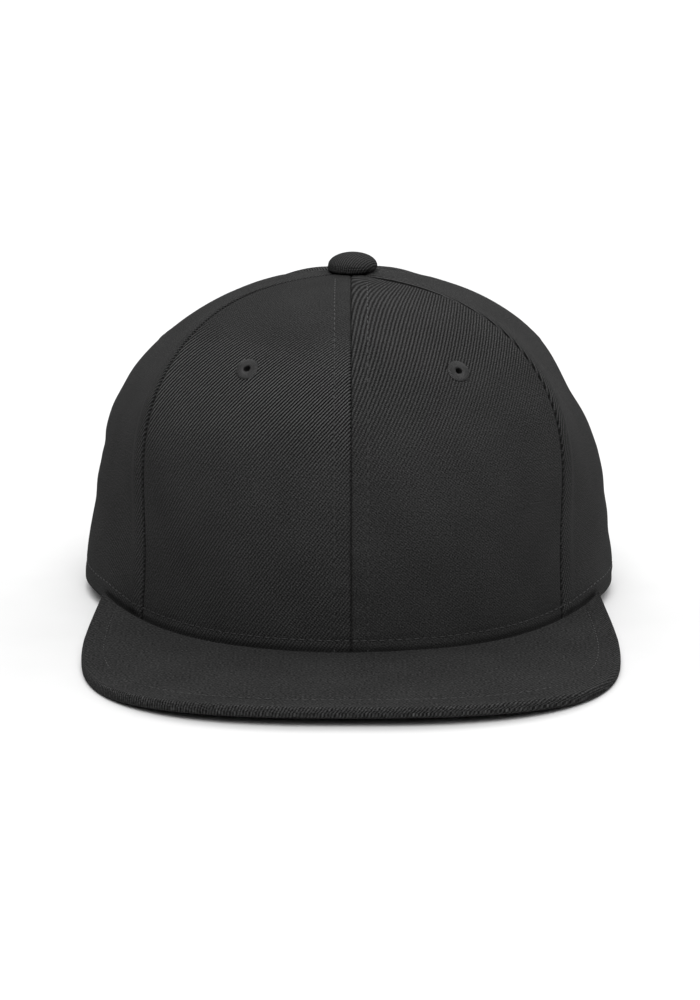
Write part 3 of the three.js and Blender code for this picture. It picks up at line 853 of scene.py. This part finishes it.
def panel_grid(index):
    """Gore and rise at each corner of a panel's mesh."""
    name = PANELS[index][0]
    gore = index + lerp(TINY, 1 - TINY, spaced(PANEL_COLUMNS))
    start = np.zeros_like(gore)
    if name.startswith("rear"):
        half = PANEL_COLUMNS // 2
        arch_gore, arch_rise = arch_edge(index, np.linspace(0, math.pi / 2, half + 1))
        arch_rise[-1] = 0
        far_end = index + TINY if name.endswith("right") else index + 1 - TINY
        gore = np.concatenate((arch_gore, lerp(arch_gore[-1], far_end, spaced(half))[1:]))
        start = np.concatenate((arch_rise, np.zeros(half)))
        order = np.argsort(gore)
        gore, start = gore[order], start[order]
    along = spaced(PANEL_ROWS)[:, None]
    return np.broadcast_to(gore, (PANEL_ROWS + 1, len(gore))), lerp(start, last_rise(gore), along)


def undulation(across, along, phase):
    """Slow unevenness of worn cloth, from minus one to one."""
    waves = [
        height * np.sin(across / wide + along / long + turn * phase)
        for wide, long, turn, height in WAVES
    ]
    return sum(waves) / sum(wave[-1] for wave in WAVES)


def reached(distance, fields, lines):
    """The place on each line at which the field that runs along it reaches a distance."""
    return np.array([
        [np.interp(distance, field, line[:, axis]) for axis in range(3)]
        for field, line in zip(fields, lines)
    ])


class Panel:
    """The worked-out surface of one panel: its skins, directions and distances."""

    def __init__(self, index):
        self.name, _, self.eyelet_across, self.eyelet_rise, self.grain = PANELS[index]
        self.index = index
        gore, rise = panel_grid(index)
        base, self.azimuth, self.share = crown_place(gore, rise)
        self.normals = crown_normal(gore, rise)
        self.from_start = lengths_along(base, 1)
        self.width = self.from_start[:, -1:]
        self.from_end = self.width - self.from_start
        middle = base[:, PANEL_COLUMNS // 2]
        self.height = np.broadcast_to(lengths_along(middle[:, None], 0), self.from_start.shape)
        self.above_hem = lengths_along(base, 0)
        if self.name.startswith("rear"):
            over_arch = np.hypot(base[..., 0], base[..., 2]) - ARCH_HEIGHT
            nearer = np.minimum(self.above_hem, over_arch)
            self.above_hem = np.where(over_arch < ARCH_NEAR, nearer, self.above_hem)
        slit = np.clip(SEAM_SLIT - np.minimum(self.from_start, self.from_end), 0, None)
        self.outer = base + self.normals * (self.relief() - slit)[..., None]
        self.inner = base - self.normals * (PANEL_WALL - roll(self.above_hem, EDGE_ROLL))[..., None]

    def seam_rows(self):
        """For both seams: the distance to it, its roll, whether it is stitched down, and whether its allowance
        is pressed to this side."""
        raised = {"side_right": (True, False), "side_left": (False, True)}.get(self.name, (False, False))
        ends = slice(self.index, self.index + 2)
        return zip((self.from_start, self.from_end), SEAM_ROLLS[ends], TOPSTITCHED[ends], raised)

    def relief(self):
        """How far the outside stands off the plain crown."""
        worn = WORN_FRONT if self.name.startswith("front") else WORN_REST
        swell = worn * undulation(self.from_start - self.width / 2, self.height, self.index * 1.3)
        for distance, _, stitched, raised in self.seam_rows():
            if stitched:
                pucker = np.sin(self.height / PUCKER_WAVE + np.sin(self.height / PUCKER_DRIFT) + self.index)
                swell += PUCKER * bump(distance / PUCKER_REACH) * pucker
                swell += SEAM_RIDGE * bump(2 * distance / TOPSTITCH_SETBACK - 1)
                swell -= STITCH_GROOVE * bump((distance - TOPSTITCH_SETBACK) / GROOVE_REACH)
            if raised:
                swell += ALLOWANCE_LIFT * bump((distance - ALLOWANCE_MIDDLE) / ALLOWANCE_REACH)
        swell *= smooth(self.width / NARROW_END)
        for at, spread, height, reach, amount in SWELLS:
            around = bump(turn_between(self.azimuth, at) / spread)
            swell += amount * around * bump((self.share - height) / reach)
        swell *= smooth((self.above_hem - PLAIN_HEM) / PLAIN_HEM_FADE)
        for distance, seam_roll, _, _ in self.seam_rows():
            swell -= roll(distance, seam_roll)
        over_board = self.above_hem - BRIM_BOARD
        swell -= HEM_GROOVE * bump((over_board - HEM_STITCH_SETBACK) / GROOVE_REACH)
        joined = roll(over_board, JOIN_ROLL) / JOIN_ROLL * JOIN_DEPTH * smooth(1 + over_board / JOIN_FADE)
        return swell - lerp(roll(self.above_hem, EDGE_ROLL), joined, self.at_brim())

    def at_brim(self):
        """1 where the panel meets the brim, and 0 past its corners."""
        past = np.abs(turn_between(self.azimuth, 0)) - BRIM_CORNER_AZIMUTH
        return smooth((CORNER_BLEND - past) / (2 * CORNER_BLEND))

    def cloth_map(self):
        """The cloth's own places, turned by the panel's grain."""
        across = self.from_start - self.width / 2
        if self.name == "front_right":
            above = np.maximum(self.height - LEAN_FROM, 0)
            bent = np.minimum(above, LEAN_REACH)
            ease = 1 - LEAN_EASE * self.from_start / self.width
            across = across + LEAN * bent * (2 * above - bent) * ease
        turn = math.radians(-self.grain)
        return np.stack((
            across * math.cos(turn) - self.height * math.sin(turn),
            across * math.sin(turn) + self.height * math.cos(turn),
        ), -1)

    def rib(self):
        """How strongly the twill's ribs show: the ribs are the weave's own, and their strength changing over the
        panel is painted sheen, stronger where they catch the light.
        """
        across = self.from_start / self.width
        if self.name == "front_left":
            shown = lerp(0.27, 1.0, bump((self.share - 0.77) / 0.27))
            under_button = smooth((0.93 - self.share) / 0.08)
            at_left = smooth((0.25 - across) / 0.2) * smooth((0.6 - self.share) / 0.1)
            return shown * lerp(0.2, 1.0, under_button) * (1 - 0.6 * at_left)
        if self.name == "front_right":
            shown = lerp(0.07, 0.48, smooth((self.share - 0.42) / 0.46))
            at_right = smooth((across - 0.3) / 0.5) * smooth((0.84 - self.share) / 0.08)
            return shown * (1 - 0.4 * at_right)
        return lerp(0.3, 0.7, smooth((self.share - 0.45) / 0.3))

    def hollow(self):
        """Painted shade: how much the cloth's colour is darkened where it lies in the shade of a seam that isn't
        stitched down, and of the join with the brim.
        """
        shade = JOIN_PAINTED_SHADE * self.at_brim() * bump((self.above_hem - BRIM_BOARD) / JOIN_ROLL)
        for distance, _, stitched, _ in self.seam_rows():
            if not stitched:
                shade = np.maximum(shade, SEAM_PAINTED_SHADE * bump(distance / SEAM_SHADE))
        return shade

    def eyelet_place(self):
        gore = np.array([self.index + self.eyelet_across])
        rise = np.array([float(self.eyelet_rise)])
        return crown_point(gore, rise)[0], crown_normal(gore, rise)[0]

    def mesh(self):
        keep = np.ones((PANEL_ROWS, self.outer.shape[1] - 1), bool)
        punch(self.outer, self.inner, keep, *self.eyelet_place(), EYELET_RADIUS - EYELET_LAP)
        # The ribs' strength also carries painted sheen, and the second field is painted shade
        fields = {"rib": self.rib(), "hollow": self.hollow()}
        return wall_mesh(f"panel_{self.name}", self.outer, self.inner, self.cloth_map(), keep, **fields)

    def line_beside_seam(self, distance, at_end):
        """A line up the panel at a distance from one of its seams, and the outward direction along it."""
        step = -1 if at_end else 1
        wide = np.flatnonzero(self.width[:, 0] > 2.4 * distance)
        fields = (self.from_end if at_end else self.from_start)[wide, ::step]
        return tuple(reached(distance, fields, grid[wide, ::step]) for grid in (self.outer, self.normals))

    def line_above_edge(self, distance):
        """A line across the panel at a distance from its lower edge, and the outward direction along it."""
        columns = slice(2, -2)
        fields = self.above_hem.T[columns]
        grids = [grid.swapaxes(0, 1)[columns] for grid in (self.outer, self.normals)]
        return tuple(reached(distance, fields, grid) for grid in grids)


# Round pieces


def revolved_mesh(name, profile, columns, closed, change=None):
    """A profile of radius and height turned round Z. It starts and ends on the axis, or is a closed loop."""
    profile = np.array(profile, float)
    turns = np.linspace(0, 2 * math.pi, columns, endpoint=False)
    ring = profile if closed else profile[1:-1]
    points = np.stack((
        ring[:, :1] * np.cos(turns),
        ring[:, :1] * np.sin(turns),
        np.broadcast_to(ring[:, 1:], (len(ring), columns)),
    ), -1)
    if change is not None:
        points = change(points, turns)
    corner = np.arange(len(ring) * columns).reshape(len(ring), columns)
    below = corner if closed else corner[:-1]
    above = np.roll(corner, -1, 0) if closed else corner[1:]
    faces = np.stack((below, np.roll(below, -1, 1), np.roll(above, -1, 1), above), -1).reshape(-1, 4).tolist()
    vertices = points.reshape(-1, 3)
    if not closed:
        bottom, top = len(vertices), len(vertices) + 1
        vertices = np.concatenate((vertices, [(0, 0, profile[0, 1]), (0, 0, profile[-1, 1])]))
        first, last = corner[0].tolist(), corner[-1].tolist()
        faces += [(after, before, bottom) for before, after in zip(first, first[1:] + first[:1])]
        faces += [(before, after, top) for before, after in zip(last, last[1:] + last[:1])]
    mesh = bpy.data.meshes.new(name)
    mesh.from_pydata((vertices * MM).tolist(), [], faces)
    mesh.shade_smooth()
    mesh.set_sharp_from_angle(angle=math.radians(50))
    return mesh


def cloth_from_above(mesh):
    """Gives a round piece the cloth's places as seen from above, stretched down its sides."""
    layer = mesh.uv_layers.new(name="cloth")
    places = np.empty(len(mesh.vertices) * 3)
    mesh.vertices.foreach_get("co", places)
    places = places.reshape(-1, 3) / MM
    radius = np.hypot(places[:, 0], places[:, 1])
    reach = radius + np.clip(places[:, 2].max() - places[:, 2], 0, None) * 0.8
    flat = places[:, :2] * (reach / np.maximum(radius, TINY))[:, None]
    corners = np.empty(len(mesh.loops), int)
    mesh.loops.foreach_get("vertex_index", corners)
    layer.data.foreach_set("uv", flat[corners].ravel())
    rib = mesh.attributes.new("rib", "FLOAT", "POINT")
    rib.data.foreach_set("value", np.full(len(mesh.vertices), 0.45, np.float32))


def button_piece(material):
    gores = np.arange(0, len(PANELS), 0.5)
    rises = np.degrees(np.arctan2(oval_radius(gore_at(gores, 0 * gores)[0]), BUTTON_WASHER_RADIUS))
    washer_top = crown_point(gores, rises)[:, 2].min() - CROWN_TOP - PANEL_WALL - CLEARANCE
    washer_bottom = washer_top - BUTTON_WASHER_THICKNESS
    seat = CLEARANCE
    profile = [
        (0, washer_bottom),
        (BUTTON_WASHER_RADIUS - WASHER_EDGE, washer_bottom),
        (BUTTON_WASHER_RADIUS, washer_bottom + WASHER_EDGE),
        (BUTTON_WASHER_RADIUS, washer_top - WASHER_EDGE),
        (BUTTON_WASHER_RADIUS - WASHER_EDGE, washer_top),
        (BUTTON_SHANK_RADIUS, washer_top),
        (BUTTON_SHANK_RADIUS, seat + 0.4),
        (BUTTON_RADIUS * 0.6, seat),
    ]
    for turn in np.radians(np.linspace(-90, 0, BUTTON_ROWS // 3, endpoint=False)):
        out = lerp(BUTTON_UNDER, 1, math.cos(turn))
        profile.append((BUTTON_RADIUS * out, seat + BUTTON_HEIGHT * BUTTON_SIDE * (1 + math.sin(turn))))
    for turn in np.radians(np.linspace(0, 88, BUTTON_ROWS)):
        height = BUTTON_HEIGHT * lerp(BUTTON_SIDE, 1, math.sin(turn))
        profile.append((BUTTON_RADIUS * math.cos(turn), seat + height))
    profile.append((0, seat + BUTTON_HEIGHT))

    def gather(points, turns):
        """Small folds where the cloth is drawn under the button, and two creases along its front."""
        height = (points[..., 2] - seat) / BUTTON_HEIGHT
        low = bump((height - 0.14) / 0.26) * (points[..., 2] > seat)
        folds = sum(share * np.sin(turns * count + phase) for count, phase, share in BUTTON_FOLDS)
        facing = bump((turns - 1.5 * math.pi) / 1.1)
        creases = sum(bump((height - at) / reach) for at, reach in BUTTON_CREASES) * facing
        points[..., :2] *= (1 + (BUTTON_GATHER * low * folds - BUTTON_CREASE * creases))[..., None]
        points[..., 0] += BUTTON_LEAN * smooth(height / BUTTON_SIDE)
        return points

    mesh = revolved_mesh("covered_button", profile, BUTTON_COLUMNS, False, gather)
    mesh.transform(Matrix.Translation((0, 0, CROWN_TOP * MM)))
    cloth_from_above(mesh)
    return piece_from("covered_button", mesh, material, ["top_button"])


def eyelet_piece(panel, tree, material):
    """A worked eyelet: a low ring through the cloth, covered in thread."""
    neck, flange = EYELET_RADIUS - 1, EYELET_RADIUS
    profile = [
        (EYELET_HOLE_RADIUS, -PANEL_WALL - 0.2),
        (EYELET_HOLE_RADIUS + 0.5, -PANEL_WALL - 0.5),
        (flange - 0.5, -PANEL_WALL - 0.35),
        (flange, -PANEL_WALL - 0.05),
        (neck, -PANEL_WALL),
        (neck, 0),
        (flange, 0.05),
        (flange - 0.5, 0.3),
        (EYELET_HOLE_RADIUS + 0.5, 0.35),
        (EYELET_HOLE_RADIUS, 0.1),
    ]
    name = f"worked_eyelet_{panel.name}"
    mesh = grown_mesh(
        name,
        revolved_mesh(f"eyelet_{panel.name}", profile, RING_COLUMNS, True),
        tree,
        Strands=SATIN_STRANDS,
        Middle_Radius=(EYELET_HOLE_RADIUS + EYELET_RADIUS) / 2 * MM,
        Length=(EYELET_RADIUS - EYELET_HOLE_RADIUS + SATIN_WIDTH) * MM,
        Width=SATIN_WIDTH * MM,
        Height=SATIN_HEIGHT * MM,
        Lift=SATIN_LIFT * MM,
        Thread=material,
    )
    centre, direction = panel.eyelet_place()
    turn = Vector((0, 0, 1)).rotation_difference(Vector(direction)).to_matrix().to_4x4()
    mesh.transform(Matrix.Translation(Vector(centre) * MM) @ turn)
    return piece_from(name, mesh, material, [f"eyelet_{panel.name}"])


# Brim


def brim_half_thickness(inward):
    board, rim = BRIM_BOARD / 2, BRIM_RIM / 2
    short = BRIM_RIM_ROUND - np.clip(inward, 0, BRIM_RIM_ROUND)
    rounded = rim - BRIM_RIM_ROUND + np.sqrt(BRIM_RIM_ROUND**2 - short**2)
    band = lerp(rim, board, smooth((inward - BRIM_RIM_ROUND) / (BRIM_RIM_BAND - BRIM_RIM_ROUND)))
    return np.where(inward < BRIM_RIM_ROUND, rounded, band)


def brim_mesh():
    """Top skin round the rim from its underside to the crown, and bottom skin from there to the crown."""
    place = np.linspace(-2, 2, BRIM_COLUMNS + 1)
    way, side = np.abs(place), np.where(place < 0, -1.0, 1.0)
    _, width = brim_plan(way, side, 0 * way)
    squeeze = np.minimum(1, width * BRIM_RIM_BAND_MOST / BRIM_RIM_BAND)

    round_turn = np.linspace(-90, 90, BRIM_ROUND_ROWS + 1)
    round_in = BRIM_RIM_ROUND * (1 - np.cos(np.radians(round_turn)))
    flat_half = BRIM_RIM / 2 - BRIM_RIM_ROUND
    round_up = flat_half * np.sign(round_turn) + BRIM_RIM_ROUND * np.sin(np.radians(round_turn))
    round_cloth = BRIM_RIM_ROUND - BRIM_RIM_ROUND * np.radians(90 - round_turn)
    round_cloth -= 2 * flat_half * (round_turn <= 0)
    band_in = np.linspace(BRIM_RIM_ROUND, BRIM_RIM_BAND, BRIM_BAND_ROWS + 1)[1:]
    board_share = 1 - (1 - np.linspace(0, 1, BRIM_BOARD_ROWS + 1)[1:]) ** 1.5

    rows_in = [row * squeeze for row in np.concatenate((round_in, band_in))]
    rows_up = [np.full_like(way, row) for row in round_up]
    rows_up += [brim_half_thickness(np.full_like(way, row)) for row in band_in]
    rows_cloth = [row * squeeze for row in np.concatenate((round_cloth, band_in))]
    for share in board_share:
        rows_in.append(lerp(BRIM_RIM_BAND * squeeze, width, share))
        rows_up.append(brim_half_thickness(rows_in[-1] / squeeze))
        rows_cloth.append(rows_in[-1])
    top_in, top_up, top_cloth = (np.array(rows) for rows in (rows_in, rows_up, rows_cloth))

    rows = len(top_in)
    below_share = np.linspace(0, 1, rows)[:, None] ** 1.2
    bottom_in = lerp((BRIM_RIM_ROUND + BRIM_UNDER_START) * squeeze, width, below_share)
    bottom_up = -brim_half_thickness(bottom_in / squeeze)

    def plan(inward):
        return brim_plan(way + 0 * inward, side + 0 * inward, inward)[0]

    def skin(inward, up, relief):
        place = plan(inward)
        middle = brim_top(place[..., 0], place[..., 1]) - BRIM_BOARD / 2
        return np.concatenate((place, (middle + up + relief)[..., None]), -1)

    wave = undulation(plan(top_in)[..., 0], top_in * 1.3, 0.7)
    groove = bump((top_in - BRIM_STITCH_SETBACK) / 1.2)
    relief = (WORN_BRIM * wave - HEM_GROOVE * groove) * smooth((top_in - 2) / 8)
    relief -= roll(np.maximum(width - top_in, 0), BRIM_BACK_ROLL)
    rib = lerp(BRIM_RIB, RIM_RIB, smooth((RIM_RIB_REACH - top_in) / RIM_RIB_FADE))
    outer = skin(top_in, top_up, relief)
    return wall_mesh("twill_brim", outer, skin(bottom_in, bottom_up, 0), plan(top_cloth), rib=rib)


def brim_stitch_path():
    """The row of stitches round the brim, and the outward direction along it."""
    place = np.linspace(-BRIM_STITCH_END, BRIM_STITCH_END, 400)
    way, side = np.abs(place), np.where(place < 0, -1.0, 1.0)
    plan, _ = brim_plan(way, side, np.full_like(way, BRIM_STITCH_SETBACK))
    height = brim_top(plan[:, 0], plan[:, 1]) - 0.8 * HEM_GROOVE
    return np.column_stack((plan, height)), np.tile((0.0, 0.0, 1.0), (len(way), 1))


# Band and strap


def rear_turn(length):
    return math.degrees(length / CROWN_REAR_LENGTH)


ARCH_EDGE_TURN = math.degrees(math.asin(ARCH_HALF_WIDTH / CROWN_REAR_LENGTH))
STRAP_END_TURN = ARCH_EDGE_TURN + rear_turn(STRAP_SEAT)
LAST_ENGAGED = (SNAPS_ENGAGED - 1) / 2 * SNAP_PITCH
FREE_TURN = rear_turn(LAST_ENGAGED + STRAP_TAIL)
OUTER_STRAP_DEPTH = PANEL_WALL + CLEARANCE
INNER_STRAP_DEPTH = OUTER_STRAP_DEPTH + STRAP_WALL + CLEARANCE


def sweatband():
    """The band's mesh, and the path of the seam along its lower edge on the side of the head."""
    end = 180 - STRAP_END_TURN - rear_turn(CLEARANCE * 2)
    azimuth = np.linspace(-end, end, BAND_COLUMNS + 1)
    gore = gore_at_azimuth(azimuth)
    foot = hem_level(azimuth) + SWEATBAND_SETBACK
    along = spaced(BAND_ROWS, 0.4)[:, None]
    rise = rise_at_height(gore + 0 * along, foot + SWEATBAND_HEIGHT * along)
    gore = gore + 0 * rise
    depth = PANEL_WALL + SWEATBAND_GAP
    edge = SWEATBAND_HEIGHT * np.minimum(along, 1 - along)
    turned = roll(edge, BAND_EDGE_ROLL) + 0 * rise
    outer = crown_inside(gore, rise, depth + turned)
    lip = BAND_LIP * bump(SWEATBAND_HEIGHT * (1 - along) / BAND_LIP_REACH - 1)
    inner = crown_inside(gore, rise, depth + SWEATBAND_WALL - turned + lip)
    cloth_map = np.stack((lengths_along(outer, 1), lengths_along(outer, 0)), -1)
    mesh = wall_mesh("cotton_sweatband", outer, inner, cloth_map)
    row = int(np.argmin(np.abs(SWEATBAND_HEIGHT * along[:, 0] - BAND_STITCH_SETBACK)))
    return mesh, (inner[row], -crown_normal(gore[row], rise[row]))


def strap_depth(turn, free_depth):
    """How deep a half of the strap lies: at its own depth where the halves lap, and past them in the outer layer."""
    return lerp(free_depth, OUTER_STRAP_DEPTH, smooth((turn - FREE_TURN) / (ARCH_EDGE_TURN - FREE_TURN)))


def strap_grid(side, free_depth):
    """Gore, rise and depth over one half of the strap, with rounded corners at its free end."""
    turn = np.linspace(STRAP_END_TURN, -FREE_TURN, STRAP_COLUMNS + 1)
    if side < 0:
        turn = turn[::-1]
    gore = gore_at_azimuth(180 - side * turn)
    from_free = np.radians(turn + FREE_TURN) * CROWN_REAR_LENGTH
    half = STRAP_HEIGHT / 2 - roll(from_free, STRAP_CORNER)
    along = np.linspace(-1, 1, STRAP_ROWS + 1)[:, None]
    height = STRAP_LIFT + STRAP_HEIGHT / 2 + half * along
    gore = gore + 0 * height
    edge = np.minimum(half * (1 - np.abs(along)), from_free + 0.05)
    depth = strap_depth(turn, free_depth) + 0 * height
    return gore, rise_at_height(gore, height), depth, roll(edge, STRAP_EDGE_ROLL)


def snap_places(side, free_depth):
    """Centre and direction of each snap on one half of the strap."""
    turn = np.array([rear_turn(snap * SNAP_PITCH - LAST_ENGAGED) for snap in range(SNAP_COUNT)])
    gore = gore_at_azimuth(180 - side * turn)
    rise = rise_at_height(gore, np.full_like(gore, STRAP_LIFT + STRAP_HEIGHT / 2))
    return crown_inside(gore, rise, strap_depth(turn, free_depth)), crown_normal(gore, rise)


def strap_mesh(name, side, free_depth, holes):
    gore, rise, depth, turned = strap_grid(side, free_depth)
    outer = crown_inside(gore, rise, depth + turned)
    inner = crown_inside(gore, rise, depth + STRAP_WALL - turned)
    keep = np.ones((outer.shape[0] - 1, outer.shape[1] - 1), bool)
    if holes:
        for centre, direction in zip(*snap_places(side, free_depth)):
            punch(outer, inner, keep, centre, direction, SNAP_HOLE_RADIUS)
    return wall_mesh(name, outer, inner, None, keep, 40)


def strap_pieces(material):
    holes = strap_mesh("strap_with_holes", -1, OUTER_STRAP_DEPTH, True)
    piece_from("strap_with_holes", holes, material, ["strap_holes"])
    pegs = strap_mesh("strap_with_pegs", 1, INNER_STRAP_DEPTH, False)
    piece_from("strap_with_pegs", pegs, material, ["strap_pegs"])
    places, directions = snap_places(1, INNER_STRAP_DEPTH)
    roots = places - directions * STRAP_WALL / 2
    length = STRAP_WALL / 2 + CLEARANCE + STRAP_WALL + SNAP_PROUD - SNAP_CHAMFER
    mesh = grown_mesh(
        "snap_pegs",
        path_mesh("snap_pegs", [(roots, directions)]),
        peg_tree(),
        Radius=(SNAP_HOLE_RADIUS - CLEARANCE) * MM,
        Length=length * MM,
        Chamfer=SNAP_CHAMFER * MM,
        Plastic=material,
    )
    piece_from("snap_pegs", mesh, material)


# Stage

CAMERA_HEIGHT = 374.1
CAMERA_DISTANCE = 1349.1
CAMERA_PITCH = 14.1786  # degrees below the horizon
CAMERA_LENS = 138.96  # on a sensor whose long side is 36
CAMERA_SHIFT = -0.001
FLOOR_HALF_WIDTH = 6000


def camera():
    data = bpy.data.cameras.new("camera")
    data.sensor_fit = "AUTO"
    data.lens = CAMERA_LENS
    data.shift_x = CAMERA_SHIFT
    data.clip_start = 0.05
    data.clip_end = 50
    viewer = placed("camera", data)
    viewer.location = (0, -CAMERA_DISTANCE * MM, CAMERA_HEIGHT * MM)
    viewer.rotation_euler = (math.radians(90 - CAMERA_PITCH), 0, 0)
    bpy.context.scene.camera = viewer


def floor():
    half = FLOOR_HALF_WIDTH * MM
    mesh = bpy.data.meshes.new("floor")
    corners = [(-half, -half, 0), (half, -half, 0), (half, half, 0), (-half, half, 0)]
    mesh.from_pydata(corners, [], [(0, 1, 2, 3)])
    mesh.materials.append(white_paper("white seamless paper", ("#cccccc", "#d1d1d1")))
    ground = placed("floor", mesh)


# Wide softboxes of the studio: azimuth and elevation in degrees, tightness and strength
SOFTBOXES = [
    (3, 54, 15, 10.2),
    (115, 30, 10, 2.3),
    (180, 55, 10, 2.7),
    (240, 55, 10, 1.5),
]
ROOM_GLOW = 0.01


def studio_light():
    """Soft white light from wide softboxes in a dim room."""
    world = bpy.data.worlds.new("studio")
    bpy.context.scene.world = world
    world.use_nodes = True
    tree = world.node_tree
    place = add(tree, "ShaderNodeTexCoord").outputs["Generated"]
    glow = ROOM_GLOW
    for azimuth, elevation, tightness, strength in SOFTBOXES:
        turn, rise = math.radians(azimuth), math.radians(elevation)
        towards = (math.sin(turn) * math.cos(rise), -math.cos(turn) * math.cos(rise), math.sin(rise))
        facing = add(tree, "ShaderNodeVectorMath", {0: place, 1: towards}, operation="DOT_PRODUCT")
        ahead = add(tree, "ShaderNodeMath", {0: facing.outputs["Value"], 1: 0.0}, operation="MAXIMUM")
        soft = add(tree, "ShaderNodeMath", {0: ahead.outputs[0], 1: tightness}, operation="POWER")
        glow = add(tree, "ShaderNodeMath", {
            0: soft.outputs[0],
            1: strength,
            2: glow,
        }, operation="MULTIPLY_ADD").outputs[0]
    tree.links.new(glow, tree.nodes["Background"].inputs["Strength"])
    tree.nodes["Background"].inputs["Color"].default_value = (1, 1, 1, 1)
    bpy.context.scene.view_settings.view_transform = "Standard"


def sewing(panels, material, band_path):
    """All rows of stitches, as one mesh for the crown, one for the brim and one for the band."""
    values = {
        "Pitch": STITCH_PITCH * MM,
        "Length": STITCH_LENGTH * MM,
        "Width": STITCH_WIDTH * MM,
        "Height": STITCH_HEIGHT * MM,
        "Thread": material,
    }
    tree = stitch_tree()
    rows = []
    for panel in panels:
        for at_end in (False, True):
            if TOPSTITCHED[panel.index + at_end]:
                rows.append(panel.line_beside_seam(TOPSTITCH_SETBACK, at_end))
        rows.append(panel.line_above_edge(BRIM_BOARD + HEM_STITCH_SETBACK))
    groups = {
        "crown_stitches": rows,
        "brim_stitches": [brim_stitch_path()],
        "band_stitches": [band_path],
    }
    for name, paths in groups.items():
        mesh = grown_mesh(name, path_mesh(name, paths), tree, **values)
        piece_from(name, mesh, material)


twill = cotton_twill("black cotton twill", ("#050505", "#4e4e4e"), 1.05, 0.12, 0.5, 1.1)
brim_twill = cotton_twill("black cotton twill on board", ("#060606", "#494949"), 1.0, 0.1, 0.8, 1.3)
thread = sewing_thread("black polyester thread", ("#0e0e0e", "#2a2a2a"))
band_cloth = plain_weave("black plain-woven cotton band", ("#070707", "#202020"), 0.9)
plastic = moulded_polyethylene("black moulded polyethylene", "#0f0f0f")

camera()
floor()
studio_light()

panels = [Panel(index) for index in range(len(PANELS))]
for panel in panels:
    piece_from(f"twill_{panel.name}", panel.mesh(), twill, [f"panel_{panel.name}"])
satin = satin_tree()
for panel in panels:
    eyelet_piece(panel, satin, thread)
piece_from("twill_brim", brim_mesh(), brim_twill, ["brim"])
button_piece(twill)
band, band_path = sweatband()
piece_from("cotton_sweatband", band, band_cloth, ["sweatband"])
strap_pieces(plastic)
sewing(panels, thread, band_path)
